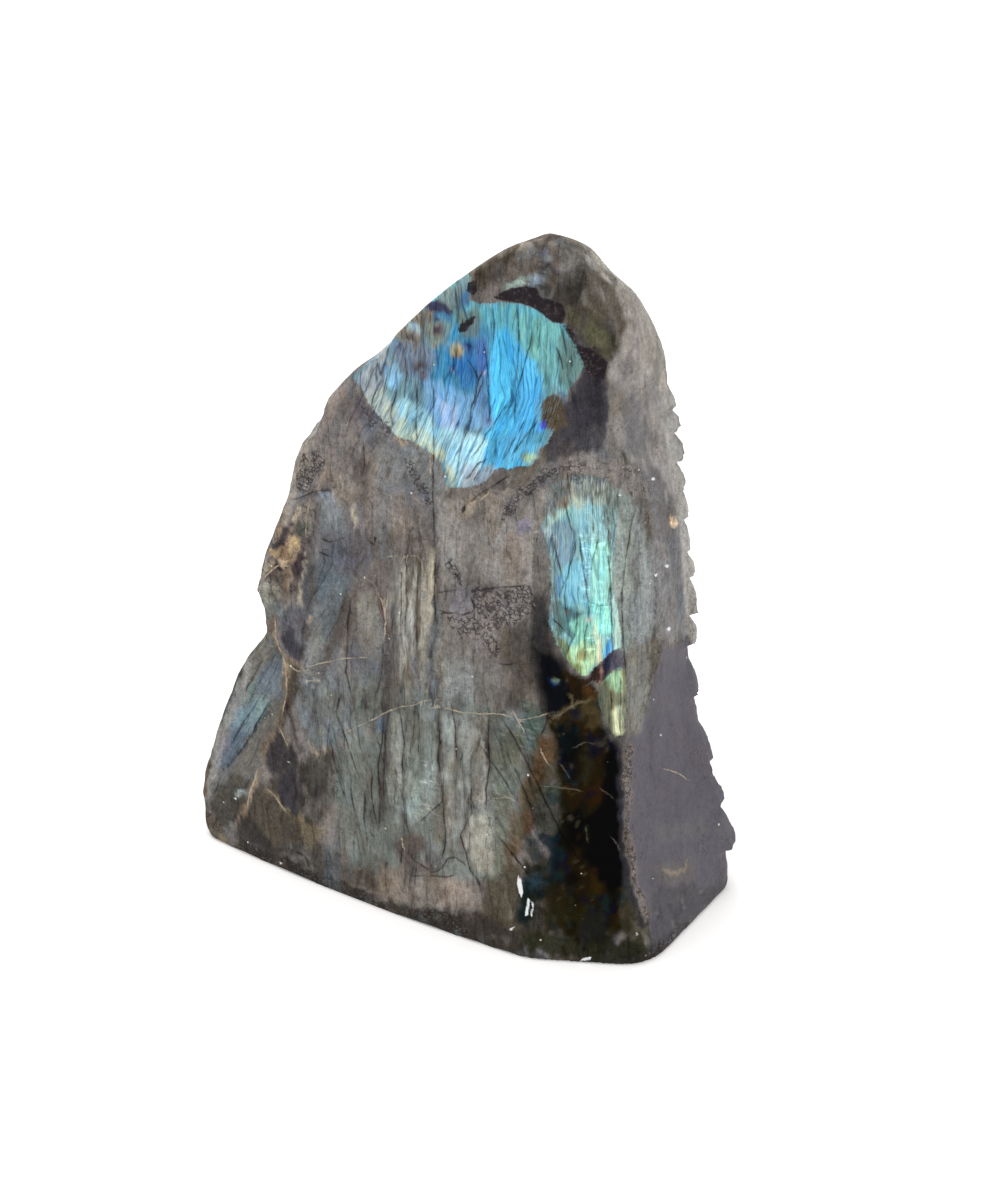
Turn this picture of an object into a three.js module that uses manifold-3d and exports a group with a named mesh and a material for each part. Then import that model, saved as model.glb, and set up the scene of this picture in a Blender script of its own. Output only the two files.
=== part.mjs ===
// A semi-polished chunk of labradorite that stands on a sawn base. Millimetres, +Z up, polished front towards -Y.
// The front is ground and polished, the right side is honed, and the back and the left side are broken rock.
// The chunk is lofted through five edges that run from the base to the crest. Slabs and chips are then broken
// out of the back and the left side, and the base is sawn flat.
import * as THREE from "three";
import { ImprovedNoise } from "three/addons/math/ImprovedNoise.js";
import { mergeVertices } from "three/addons/utils/BufferGeometryUtils.js";
import Module from "manifold-3d";

// ---- Driving dimensions ----

const FRONT_FOOT_Y = -34; // the front plane where it meets the base
const FRONT_LEAN = Math.tan(THREE.MathUtils.degToRad(12)); // how far the front leans back per mm of height
const RIDGE_FOOT_Y = -21.5; // the ridge between the polished front and the honed side
const RIDGE_LEAN = 0.187;
const BACK_FOOT_Y = 16;
const BACK_LEAN = 0.05;
const CREST_DROP = 17; // how much lower the crest is at the back than at the front
const CREST_START = 112; // the height where the sections begin to tip back
const CREST_END = 166;
const CREST_ROLL = 7; // the polished front rolls over the crest with this radius
const CREST_TOP = 167.4;

// Each station is one section: its height at the front plane, then the X of the five edges there.
const STATIONS = [
  { height: -4, left: -65, bend: 26, ridge: 53, rim: 56, heel: -58 },
  { height: 0, left: -65.5, bend: 25.5, ridge: 53, rim: 56, heel: -60 },
  { height: 8, left: -67.5, bend: 24.5, ridge: 50.4, rim: 55, heel: -61 },
  { height: 16, left: -67.5, bend: 23, ridge: 46.8, rim: 53.4, heel: -61 },
  { height: 28, left: -65.2, bend: 21.5, ridge: 43, rim: 49.8, heel: -59 },
  { height: 40, left: -61.8, bend: 21.2, ridge: 41, rim: 46.4, heel: -56 },
  { height: 52, left: -57.4, bend: 22, ridge: 40.6, rim: 42.8, heel: -52 },
  { height: 60, left: -56.8, bend: 22.2, ridge: 41.2, rim: 41.2, heel: -50 },
  { height: 67, left: -57.4, bend: 22, ridge: 41.8, rim: 40.4, heel: -49 },
  { height: 78, left: -55.4, bend: 21.4, ridge: 42, rim: 39.2, heel: -47 },
  { height: 90, left: -51.8, bend: 19.8, ridge: 40.8, rim: 37.8, heel: -44 },
  { height: 101, left: -49.8, bend: 18.4, ridge: 38, rim: 35.8, heel: -42 },
  { height: 112, left: -46.4, bend: 18, ridge: 33.4, rim: 34, heel: -38 },
  { height: 121, left: -41, bend: 18.5, ridge: 29.2, rim: 33, heel: -33 },
  { height: 130, left: -34.2, bend: 19, ridge: 26.6, rim: 32.4, heel: -26 },
  { height: 139, left: -26.4, bend: 19.6, ridge: 26.2, rim: 31.6, heel: -19 },
  { height: 148, left: -19.2, bend: 20, ridge: 27.6, rim: 30.4, heel: -13 },
  { height: 156, left: -11.4, bend: 19, ridge: 27.6, rim: 27.6, heel: -7 },
  { height: 162.5, left: -4, bend: 16.6, ridge: 25.6, rim: 23.6, heel: -3 },
  { height: 165.6, left: 0.6, bend: 14.4, ridge: 22.4, rim: 20.4, heel: 0 },
  { height: 167.4, left: 5.6, bend: 12.4, ridge: 17, rim: 15.6, heel: 4.6 },
];

// How far each edge is rounded off, as [height, radius] pairs.
const ROUNDING = {
  left: [[0, 5], [60, 4], [170, 4]],
  bend: [[0, 22], [60, 26], [110, 24], [170, 6]],
  ridge: [[0, 14], [6, 9], [16, 3], [44, 2.6], [58, 7], [76, 14], [104, 16], [122, 8], [132, 5], [150, 9]],
  rim: [[0, 3], [170, 3]],
  heel: [[0, 7], [170, 5]],
};

// How many steps each face and each rounded edge takes round a section.
const FACE_STEPS = { left: 13, bend: 4, ridge: 8, rim: 18, heel: 8 };
const EDGE_STEPS = { left: 4, bend: 5, ridge: 5, rim: 2, heel: 3 };
const LEVELS = 40;

const FOOT_BEVEL = 5; // the sides roll under to the base over this height, by this much
const FOOT_ROLL = 0.9;
const FRONT_CROWN = 1.6; // how far the middle of the polished front stands proud of a plane
const BACK_BELLY = 5; // how far the middle of the broken back stands out
const BREAK_DEPTH = 1.8; // the relief of the broken rock
const STEP_BELLY = 3; // how far the uncut back stands out where the steps are measured from
const SCOOP_WAVE = 0.03; // the waviness of a hollow, as a share of its radius
const LIP_EDGE = 0.3; // the height over which a lip ends at its lower tip

// The lips along the back rim: the height of each lip's lower tip, its length and how far it stands out.
const RIM_LIPS = [
  { height: 127, long: 7, out: 1.6 },
  { height: 120, long: 6.5, out: 2.3 },
  { height: 112, long: 7, out: 2.6 },
  { height: 104.6, long: 6.5, out: 2 },
  { height: 97.6, long: 6.5, out: 2.2 },
  { height: 89.4, long: 7, out: 1.9 },
  { height: 82.8, long: 5.5, out: 2.4 },
  { height: 73.4, long: 8.5, out: 3 },
  { height: 65.8, long: 6.5, out: 2.6 },
  { height: 52, long: 8, out: 2 },
  { height: 34, long: 9, out: 1.6 },
  { height: 23.4, long: 9, out: 2.2 },
  { height: 12, long: 9, out: 2.8 },
];

// Cleavage steps where slabs of rock came away, on the back and on the left side. Each is deepest at its upper
// corner and runs out to nothing below: the corner's place across the face and its height, the depth there,
// the width (towards the stone's left or its front where negative), the drop and the edge's slant in degrees.
const BACK_STEPS = [
  { corner: [50, 31], depth: 4.2, width: -74, drop: 30, slant: -7 },
  { corner: [-58, 40], depth: 4.6, width: 60, drop: 36, slant: 9 },
  { corner: [40, 52], depth: 3.6, width: -50, drop: 26, slant: 5 },
  { corner: [42, 76], depth: 4.4, width: -64, drop: 30, slant: -10 },
  { corner: [-50, 80], depth: 4.4, width: 42, drop: 34, slant: 14 },
  { corner: [34, 98], depth: 4.2, width: -46, drop: 26, slant: 4 },
  { corner: [-40, 112], depth: 4.6, width: 40, drop: 30, slant: -12 },
  { corner: [30, 120], depth: 4, width: -42, drop: 26, slant: 12 },
  { corner: [-20, 140], depth: 3.4, width: 36, drop: 26, slant: 8 },
];
const LEFT_STEPS = [
  { corner: [22, 27], depth: 3.2, width: -58, drop: 25, slant: 7 },
  { corner: [21, 58], depth: 3.6, width: -52, drop: 29, slant: -9 },
  { corner: [20, 82], depth: 2.6, width: -40, drop: 22, slant: 10 },
  { corner: [20, 110], depth: 3, width: -36, drop: 26, slant: -6 },
];

// Shallow hollows where chips broke away: the deepest point, the direction it faces, the radius and the depth.
const SCOOPS = [
  { at: [-55, -18.5, 60.5], facing: [-1, -0.5, -0.1], radius: 12, depth: 2.4 }, // the notch in the left edge
  { at: [-56.2, -18.8, 76], facing: [-1, -0.8, 0], radius: 22, depth: 1.6 },
  { at: [-51, -13.6, 95], facing: [-1, -0.9, 0.2], radius: 24, depth: 1.6 },
  { at: [-45, -9.5, 111.6], facing: [-1, -0.2, 0.7], radius: 13, depth: 2.4 },
  { at: [-29, -4.5, 134], facing: [-1, -0.2, 0.8], radius: 19, depth: 1.4 },
  { at: [-34, 18, 12], facing: [-0.2, 1, -0.25], radius: 62, depth: 3 },
  { at: [-24, 20.5, 94], facing: [-0.4, 1, 0.1], radius: 44, depth: 3 },
];

const STONE_COLOUR = 0x4b4a4c;

const wasm = await Module();
wasm.setup();

const noise = new ImprovedNoise();
const smooth = THREE.MathUtils.smoothstep;

// ---- The five edges and how they change with height ----

// A value of the station table at a height, on a smooth curve through the stations.
function stationValue(key, height) {
  const last = STATIONS.length - 1;
  const above = STATIONS.findIndex((s) => s.height > height);
  const i = above < 0 ? last - 1 : Math.max(0, above - 1);
  const [before, from, to, after] = [i - 1, i, i + 1, i + 2].map((n) => STATIONS[Math.min(last, Math.max(0, n))]);
  const span = to.height - from.height;
  const slopeFrom = ((to[key] - before[key]) / (to.height - before.height)) * span;
  const slopeTo = ((after[key] - from[key]) / (after.height - from.height)) * span;
  const t = (height - from.height) / span;
  const t2 = t * t;
  const t3 = t2 * t;
  return (
    (2 * t3 - 3 * t2 + 1) * from[key] +
    (t3 - 2 * t2 + t) * slopeFrom +
    (3 * t2 - 2 * t3) * to[key] +
    (t3 - t2) * slopeTo
  );
}

function roundingAt(edge, height) {
  const pairs = ROUNDING[edge];
  const next = pairs.findIndex(([h]) => h > height);
  if (next === 0) return pairs[0][1];
  if (next < 0) return pairs[pairs.length - 1][1];
  const [[h0, r0], [h1, r1]] = [pairs[next - 1], pairs[next]];
  return THREE.MathUtils.mapLinear(height, h0, h1, r0, r1);
}

const EDGES = ["left", "bend", "ridge", "rim", "heel"];

// How far back the polished front has rolled over at a height near the crest.
function crestRoll(height) {
  const over = THREE.MathUtils.clamp((height - (CREST_TOP - CREST_ROLL)) / CREST_ROLL, 0, 1);
  return CREST_ROLL * (1 - Math.sqrt(1 - over * over));
}

// The depth of each edge at a height: the first two lie in the front plane, the last two in the back plane.
function edgeDepth(edge, height) {
  if (edge === "left" || edge === "bend") return FRONT_FOOT_Y + FRONT_LEAN * height + crestRoll(height);
  if (edge === "ridge") return RIDGE_FOOT_Y + RIDGE_LEAN * height;
  return BACK_FOOT_Y + BACK_LEAN * height;
}

function edgePoint(edge, height) {
  return new THREE.Vector2(stationValue(edge, height), edgeDepth(edge, height));
}

// ---- One section ----

// The closed outline of a section: its five corners rounded off, and steps along each face between them.
// A point keeps the face it lies on and how far along it is, from 0 to 1, because each face has its own finish.
function sectionOutline(height) {
  const corners = EDGES.map((edge) => edgePoint(edge, height));
  const arcs = corners.map((corner, i) => {
    const before = corners[(i + EDGES.length - 1) % EDGES.length];
    const after = corners[(i + 1) % EDGES.length];
    const inward = before.clone().sub(corner);
    const onward = after.clone().sub(corner);
    const turn = Math.PI - Math.acos(inward.dot(onward) / (inward.length() * onward.length()));
    const wanted = roundingAt(EDGES[i], height) * Math.tan(turn / 2);
    const cut = Math.min(wanted, 0.45 * inward.length(), 0.45 * onward.length());
    const start = corner.clone().add(inward.setLength(cut));
    const end = corner.clone().add(onward.setLength(cut));
    return new THREE.QuadraticBezierCurve(start, corner, end);
  });
  const outline = [];
  arcs.forEach((arc, i) => {
    const edge = EDGES[i];
    arc.getPoints(EDGE_STEPS[edge]).forEach((p) => outline.push({ x: p.x, y: p.y, face: edge, along: 0 }));
    const next = arcs[(i + 1) % EDGES.length].v0;
    for (let step = 1; step < FACE_STEPS[edge]; step++) {
      const along = step / FACE_STEPS[edge];
      const p = arc.v2.clone().lerp(next, along);
      outline.push({ x: p.x, y: p.y, face: edge, along });
    }
  });
  return outline;
}

// How far the lips stand out of the rim: each swells downwards and ends at its tip.
function lipRelief(height) {
  return RIM_LIPS.reduce((sum, lip) => {
    const up = (height - lip.height) / lip.long;
    return up < 0 || up > 1 ? sum : sum + lip.out * Math.sqrt(1 - up * up);
  }, 0);
}

// How far the surface stands out of the plain section. A face is named after the edge it starts from.
function relief(point, height, z) {
  const middle = 4 * point.along * (1 - point.along);
  const tall = Math.sin(Math.PI * THREE.MathUtils.clamp(height / CREST_END, 0, 1));
  if (point.face === "left") return FRONT_CROWN * middle * smooth(CREST_END - height, 0, 60);
  if (point.face === "bend") return 0;
  if (point.face === "ridge") return lipRelief(height) * smooth(point.along, 0.84, 1);
  const broken = noise.noise(point.x / 17, point.y / 17, z / 17) + 0.5 * noise.noise(point.x / 7, 3.1, z / 6);
  const edgeFade = smooth(point.along, 0, 0.12) * smooth(1 - point.along, 0, 0.12);
  if (point.face === "heel") return BREAK_DEPTH * broken * (0.4 + 0.6 * edgeFade);
  const lip = lipRelief(height) * smooth(0.25 - point.along, 0, 0.25);
  return lip + edgeFade * (BACK_BELLY * middle * tall + BREAK_DEPTH * broken);
}

// How far the section is drawn in near the sawn base, where the sides roll under.
function footInset(height) {
  const up = THREE.MathUtils.clamp(height / FOOT_BEVEL, 0, 1);
  const roll = 1 - Math.sqrt(1 - (1 - up) * (1 - up));
  return roll * FOOT_ROLL;
}

function section(height) {
  const outline = sectionOutline(height);
  const front = edgeDepth("left", height);
  const depth = edgeDepth("rim", height) - front;
  const drop = CREST_DROP * smooth(height, CREST_START, CREST_END);
  return outline.map((point, i) => {
    const before = outline[(i + outline.length - 1) % outline.length];
    const after = outline[(i + 1) % outline.length];
    const outward = new THREE.Vector2(after.y - before.y, before.x - after.x).normalize();
    const z = height - drop * THREE.MathUtils.clamp((point.y - front) / depth, 0, 1);
    const out = relief(point, height, z) - footInset(height);
    return new THREE.Vector3(point.x + out * outward.x, point.y + out * outward.y, z);
  });
}

// ---- The lofted block ----

// Section heights: a pair at the tip of every lip, close ones where the foot and the crest roll over, and even
// ones between them.
function levelHeights() {
  const tips = RIM_LIPS.flatMap(({ height }) => [height - LIP_EDGE, height]);
  const roll = [0.15, 0.4, 0.7, 1];
  const foot = [STATIONS[0].height, 0, ...roll.map((share) => FOOT_BEVEL * share)];
  const crest = [0, 0.45, 0.7, 0.87, 0.97, 1].map((share) => CREST_TOP - CREST_ROLL * (1 - share));
  const fixed = [...tips, ...foot, ...crest];
  const even = Array.from({ length: LEVELS }, (_, i) => (CREST_TOP * (i + 0.5)) / LEVELS);
  const clear = even.filter((height) => fixed.every((other) => Math.abs(other - height) > 1.4));
  return [...fixed, ...clear].sort((a, b) => a - b);
}

function loftedBlock() {
  const rings = levelHeights().map(section);
  const around = rings[0].length;
  const points = rings.flat();
  const index = [];
  for (let level = 0; level < rings.length - 1; level++) {
    for (let i = 0; i < around; i++) {
      const here = level * around + i;
      const next = level * around + ((i + 1) % around);
      index.push(here, next, next + around);
      index.push(here, next + around, here + around);
    }
  }
  const bottom = points.length;
  const top = bottom + 1;
  const centreOf = (ring) => ring.reduce((sum, p) => sum.add(p), new THREE.Vector3()).divideScalar(ring.length);
  points.push(centreOf(rings[0]), centreOf(rings[rings.length - 1]));
  const lastRing = (rings.length - 1) * around;
  for (let i = 0; i < around; i++) {
    const next = (i + 1) % around;
    index.push(bottom, next, i);
    index.push(top, lastRing + i, lastRing + next);
  }
  return new THREE.BufferGeometry().setFromPoints(points).setIndex(index);
}

// ---- Joining and cutting ----

function solidFrom(geometry) {
  const bare = geometry.clone();
  bare.deleteAttribute("normal");
  bare.deleteAttribute("uv");
  const merged = mergeVertices(bare, 1e-4);
  return new wasm.Manifold(
    new wasm.Mesh({
      numProp: 3,
      vertProperties: merged.attributes.position.array,
      triVerts: new Uint32Array(merged.index.array),
    }),
  );
}

function geometryFrom(solid) {
  const mesh = solid.getMesh();
  const geometry = new THREE.BufferGeometry();
  geometry.setAttribute("position", new THREE.BufferAttribute(mesh.vertProperties, 3));
  geometry.setIndex(new THREE.BufferAttribute(mesh.triVerts, 1));
  geometry.computeVertexNormals();
  return geometry;
}

// The slab of rock that leaves a cleavage step, lying on a face that looks along +Y. It is turned so that its
// lower edge and its far side both come out of the rock, which leaves one wall above it and one beside it.
// The spread is how much further out the face lies at the slab's lower edge.
function slab({ depth, width, drop, slant }, spread) {
  const thick = 30;
  const side = Math.sign(width);
  const shape = new THREE.BoxGeometry(Math.abs(width), thick, drop).translate(width / 2, thick / 2, -drop / 2);
  const lift = Math.atan((1.15 * depth + spread) / drop);
  const swing = side * Math.atan((0.9 * depth) / Math.abs(width));
  const turn = new THREE.Euler(lift, THREE.MathUtils.degToRad(slant), swing);
  return shape.applyMatrix4(new THREE.Matrix4().makeRotationFromEuler(turn));
}

function backSlab(step) {
  const [x, z] = step.corner;
  const y = edgeDepth("rim", z) + STEP_BELLY - step.depth;
  return solidFrom(slab(step, 0).translate(x, y, z));
}

// The left side runs from the left edge in front to the heel behind.
function leftSlab(step) {
  const [y, z] = step.corner;
  const front = edgePoint("left", z);
  const back = edgePoint("heel", z);
  const spread = stationValue("left", z) - stationValue("left", z - step.drop);
  const x = THREE.MathUtils.mapLinear(y, front.y, back.y, front.x, back.x) + step.depth;
  return solidFrom(slab(step, spread).rotateZ(back.sub(front).angle()).translate(x, y, z));
}

// The ball that leaves a hollow: it stands off along the facing, so that only its cap reaches into the rock.
function scoop({ at, facing, radius, depth }) {
  const ball = new THREE.IcosahedronGeometry(radius, 7);
  const place = ball.attributes.position;
  for (let i = 0; i < place.count; i++) {
    const [x, y, z] = [place.getX(i), place.getY(i), place.getZ(i)];
    const swell = 1 + SCOOP_WAVE * noise.noise(x / 6 + at[2], y / 6, z / 6);
    place.setXYZ(i, x * swell, y * swell, z * swell);
  }
  const middle = new THREE.Vector3(...facing).setLength(radius - depth).add(new THREE.Vector3(...at));
  return solidFrom(ball.translate(middle.x, middle.y, middle.z));
}

function sawBlock() {
  const size = 400;
  return solidFrom(new THREE.BoxGeometry(size, size, size).translate(0, 0, -size / 2));
}

function stoneSolid() {
  const slabs = [...BACK_STEPS.map(backSlab), ...LEFT_STEPS.map(leftSlab)];
  const chips = SCOOPS.map(scoop);
  return solidFrom(loftedBlock()).subtract(wasm.Manifold.union([...slabs, ...chips, sawBlock()]));
}

const solid = stoneSolid();
const box = solid.boundingBox();
const stone = new THREE.Mesh(
  geometryFrom(solid),
  new THREE.MeshStandardMaterial({ color: STONE_COLOUR, roughness: 0.35, metalness: 0 }),
);
stone.name = "labradorite_stone";
stone.position.set(-(box.min[0] + box.max[0]) / 2, -(box.min[1] + box.max[1]) / 2, -box.min[2]);

const chunk = new THREE.Group();
chunk.add(stone);
export default chunk;
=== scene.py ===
# %% [markdown]
# # A semi-polished labradorite chunk
# Labradorite is a grey feldspar that flashes blue and green where light meets thin layers inside it. This
# lump is one piece. Its broad front is polished, the side next to it is only honed, the crest is ground
# round, and the back, the left side and the scalloped rim keep the surface they broke with.
#
# The solid comes ready made. Here it gets a finer skin, low relief on the broken sides, and a finish that is
# painted on its own vertices, so that every mark stays on the stone from any side.

# %% Load the stone
import itertools
import math

import bmesh
import bpy
import numpy as np
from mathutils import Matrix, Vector


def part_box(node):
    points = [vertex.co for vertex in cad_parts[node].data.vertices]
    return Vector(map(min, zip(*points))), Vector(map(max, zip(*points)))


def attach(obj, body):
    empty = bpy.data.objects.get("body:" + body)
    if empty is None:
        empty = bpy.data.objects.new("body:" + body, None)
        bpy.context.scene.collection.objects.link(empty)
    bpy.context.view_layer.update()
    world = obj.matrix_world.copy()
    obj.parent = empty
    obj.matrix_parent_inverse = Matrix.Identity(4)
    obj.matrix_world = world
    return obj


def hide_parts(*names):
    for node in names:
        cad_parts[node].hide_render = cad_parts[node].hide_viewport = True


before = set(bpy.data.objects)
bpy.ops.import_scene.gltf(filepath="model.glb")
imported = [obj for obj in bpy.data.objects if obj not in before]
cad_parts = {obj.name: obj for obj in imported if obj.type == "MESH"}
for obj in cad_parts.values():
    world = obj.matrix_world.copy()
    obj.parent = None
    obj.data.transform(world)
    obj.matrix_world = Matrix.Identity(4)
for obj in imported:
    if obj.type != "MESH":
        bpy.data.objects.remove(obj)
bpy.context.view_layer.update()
NODE = "labradorite_stone"
MM = 0.001
stone_low, stone_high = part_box(NODE)
print("stone size in mm:", [round(side / MM, 1) for side in stone_high - stone_low])

# %% [markdown]
# ## Camera
# A long lens from some way off keeps the sides of the stone nearly parallel. The camera comes first here,
# because the same numbers give the layout sheet: a flat sheet, 1000 units wide and 1188 high, on which the
# markings of the front are laid out. Depth of field stays off.

# %% Camera
AZIMUTH = math.radians(30)
ELEVATION = math.radians(35)
DISTANCE = 700 * MM
LENS_MM = 92
SENSOR_MM = 36
SHEET_WIDTH = 1000
SHEET_HEIGHT = 1188
AIM = Vector((5.224 * MM, 4.172 * MM, 75 * MM))

towards_camera = Vector((
    math.sin(AZIMUTH) * math.cos(ELEVATION),
    -math.cos(AZIMUTH) * math.cos(ELEVATION),
    math.sin(ELEVATION),
))
sheet_right = Vector((math.cos(AZIMUTH), math.sin(AZIMUTH), 0))
sheet_up = towards_camera.cross(sheet_right)
camera_place = AIM + towards_camera * DISTANCE

camera_data = bpy.data.cameras.new("camera")
camera_data.lens = LENS_MM
camera_data.sensor_width = SENSOR_MM
camera = bpy.data.objects.new("camera", camera_data)
bpy.context.scene.collection.objects.link(camera)
camera.location = camera_place
camera.rotation_euler = (-towards_camera).to_track_quat("-Z", "Y").to_euler()
bpy.context.scene.camera = camera
print("camera at", [round(v, 3) for v in camera_place])

# %% [markdown]
# ## Floor and light
# A stone is shown best in a light tent: a wide white floor, an even white sky all round and one large soft
# lamp overhead. Even light keeps the painted colours true, and the lamp models the crest and the lips a
# little.

# %% Floor and light
FLOOR_SIZE = 6.0
FLOOR_WHITE = (0.96, 0.945, 0.935, 1)
FLOOR_ROUGHNESS = 0.9
SKY_STRENGTH = 0.95
FLOOR_GLOW = 0.10
KEY_PLACE = Vector((-0.35, 0.15, 1.6))
KEY_SIZE = 1.2
KEY_POWER = 13
PURE_WHITE = (1, 1, 1, 1)


def flat_material(name, colour, roughness):
    """A plain material with one colour all over."""
    material = bpy.data.materials.new(name)
    material.use_nodes = True
    shader = material.node_tree.nodes["Principled BSDF"]
    shader.inputs["Base Color"].default_value = colour
    shader.inputs["Roughness"].default_value = roughness
    shader.inputs["Specular IOR Level"].default_value = 0
    return material


floor_mesh = bpy.data.meshes.new("floor")
half = FLOOR_SIZE / 2
floor_corners = [(-half, -half, 0), (half, -half, 0), (half, half, 0), (-half, half, 0)]
floor_mesh.from_pydata(floor_corners, [], [(0, 1, 2, 3)])
floor_mesh.materials.append(flat_material("white_floor", FLOOR_WHITE, FLOOR_ROUGHNESS))
floor_shader = floor_mesh.materials[0].node_tree.nodes["Principled BSDF"]
floor_shader.inputs["Emission Color"].default_value = PURE_WHITE
floor_shader.inputs["Emission Strength"].default_value = FLOOR_GLOW
floor = bpy.data.objects.new("floor", floor_mesh)
bpy.context.scene.collection.objects.link(floor)

sky = bpy.data.worlds.new("sky")
sky.use_nodes = True
sky.node_tree.nodes["Background"].inputs["Color"].default_value = PURE_WHITE
sky.node_tree.nodes["Background"].inputs["Strength"].default_value = SKY_STRENGTH
bpy.context.scene.world = sky
bpy.context.scene.view_settings.view_transform = "Standard"

key_data = bpy.data.lights.new("key", "AREA")
key_data.shape = "DISK"
key_data.size = KEY_SIZE
key_data.energy = KEY_POWER
key = bpy.data.objects.new("key", key_data)
key.location = KEY_PLACE
key.rotation_euler = (AIM - KEY_PLACE).to_track_quat("-Z", "Y").to_euler()
bpy.context.scene.collection.objects.link(key)
print("floor", FLOOR_SIZE, "m wide, key lamp", KEY_POWER, "W")

# %% [markdown]
# ## A finer skin
# The solid is made of a few thousand flat facets, too coarse for low relief or painting. A voxel remesh
# gives it an even net of small quads. The Smooth modifier then rounds the facets away, but only on the
# ground faces, so that the broken sides keep their crisp steps. Which face is which is read from the way
# the surface leans.

# %% Remesh a copy of the solid
VOXEL = 0.62 * MM
MERGE_DISTANCE = 0.01 * MM


def linked_object(name, mesh):
    """A new object holding mesh, linked to the scene."""
    made = bpy.data.objects.new(name, mesh)
    bpy.context.scene.collection.objects.link(made)
    return made


def applied(source, name):
    """The mesh that an object's modifiers give, as a plain mesh. The object itself is removed."""
    depsgraph = bpy.context.evaluated_depsgraph_get()
    mesh = bpy.data.meshes.new_from_object(source.evaluated_get(depsgraph))
    mesh.name = name
    bpy.data.objects.remove(source)
    return mesh


def merged_copy(mesh, name):
    """A copy of a mesh of loose triangles, with its corners joined."""
    net = bmesh.new()
    net.from_mesh(mesh)
    bmesh.ops.remove_doubles(net, verts=net.verts, dist=MERGE_DISTANCE)
    copy = bpy.data.meshes.new(name)
    net.to_mesh(copy)
    net.free()
    return copy


def places(mesh):
    """The vertices of a mesh as an array, in mm."""
    flat = np.empty(len(mesh.vertices) * 3, np.float32)
    mesh.vertices.foreach_get("co", flat)
    return flat.reshape(-1, 3).astype(float) / MM


def normals(mesh):
    """The vertex normals of a mesh as an array."""
    flat = np.empty(len(mesh.vertices) * 3, np.float32)
    mesh.vertex_normals.foreach_get("vector", flat)
    return flat.reshape(-1, 3).astype(float)


def remeshed(mesh, voxel):
    """A mesh with an even net of quads in place of its facets."""
    blank = linked_object("blank", mesh)
    remesh = blank.modifiers.new("remesh", "REMESH")
    remesh.mode = "VOXEL"
    remesh.voxel_size = voxel
    return applied(blank, "net")


net = remeshed(merged_copy(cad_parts[NODE].data, "facets"), VOXEL)
print("remeshed:", len(net.vertices), "vertices")

# %% [markdown]
# ## Which face is which
# Grinding leaves wide smooth faces, and breaking leaves everything else. A strongly smoothed copy of the
# net shows the broad lie of each face without its small steps, so its normals say where the stone was
# ground: in front, on the honed side to the right and over the crest.

# %% Tell ground faces from broken ones
BROAD_PASSES = 60
POLISH_PASSES = 30
FRONT_NORMAL = np.array([0.0, -0.978, 0.208])
HONED_NORMAL = np.array([0.80, -0.57, 0.18])
FRONT_RANGE = (0.80, 0.92)
HONED_RANGE = (0.72, 0.88)
CREST_UP_RANGE = (0.35, 0.55)
CREST_FORWARD_RANGE = (-0.75, -0.45)
EVEN_RANGE = (0.80, 0.93)
FOOT_RANGE = (0.80, 0.97)


def ease(value, start, end):
    """0 below start and 1 above end, with a smooth run between."""
    share = np.clip((value - start) / (end - start), 0, 1)
    return share * share * (3 - 2 * share)


def smoothed(mesh, passes, weights=None):
    """A mesh after that many smoothing passes, all over or where weights say."""
    thing = linked_object("smoothing", mesh.copy())
    smooth = thing.modifiers.new("smooth", "SMOOTH")
    smooth.factor = 0.5
    smooth.iterations = passes
    if weights is not None:
        smooth.vertex_group = weighted(thing, "smoothed", weights).name
    return applied(thing, mesh.name)


def weighted(thing, name, weights, levels=20):
    """A vertex group of an object, its weights rounded to a few levels."""
    group = thing.vertex_groups.new(name=name)
    rounded = np.rint(weights * levels).astype(int)
    for level in range(1, levels + 1):
        group.add(np.flatnonzero(rounded == level).tolist(), level / levels, "REPLACE")
    return group


broad = normals(smoothed(net, BROAD_PASSES))
raw = normals(net)
in_front = ease(broad @ FRONT_NORMAL, *FRONT_RANGE)
on_side = ease(broad @ HONED_NORMAL, *HONED_RANGE)
on_crest = ease(broad[:, 2], *CREST_UP_RANGE) * ease(-broad[:, 1], *CREST_FORWARD_RANGE)
even = ease(np.sum(broad * raw, axis=1), *EVEN_RANGE)
on_foot = ease(-raw[:, 2], *FOOT_RANGE)
ground = np.clip(in_front + on_side + on_crest, 0, 1) * even
net = smoothed(net, POLISH_PASSES, ground * (1 - on_foot))
print("ground share of the net:", round(float(ground.mean()), 2))

# %% [markdown]
# ## One way to write nodes
# Node trees are long to write out by hand. Here a socket is wrapped in a small class, so that sums and
# products of sockets are written as Python expressions, and every other node comes from one method. The
# same two classes serve the geometry tree and the stone's finish.

# %% Node helpers
class Wire:
    """An output socket that can stand in an expression: each operator adds a Math node."""

    def __init__(self, graph, socket):
        self.graph = graph
        self.socket = socket

    def math(self, operation, *values):
        return self.graph.node("ShaderNodeMath", {"operation": operation}, dict(enumerate(values)))

    def __add__(self, other):
        return self.math("ADD", self, other)

    __radd__ = __add__

    def __sub__(self, other):
        return self.math("SUBTRACT", self, other)

    def __rsub__(self, other):
        return self.math("SUBTRACT", other, self)

    def __mul__(self, other):
        return self.math("MULTIPLY", self, other)

    __rmul__ = __mul__

    def __rtruediv__(self, other):
        return self.math("DIVIDE", other, self)

    def ease(self, start, end):
        """0 below start and 1 above end, with a smooth run between."""
        settings = {"interpolation_type": "SMOOTHSTEP"}
        values = {"Value": self, "From Min": start, "From Max": end}
        return self.graph.node("ShaderNodeMapRange", settings, values)


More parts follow.
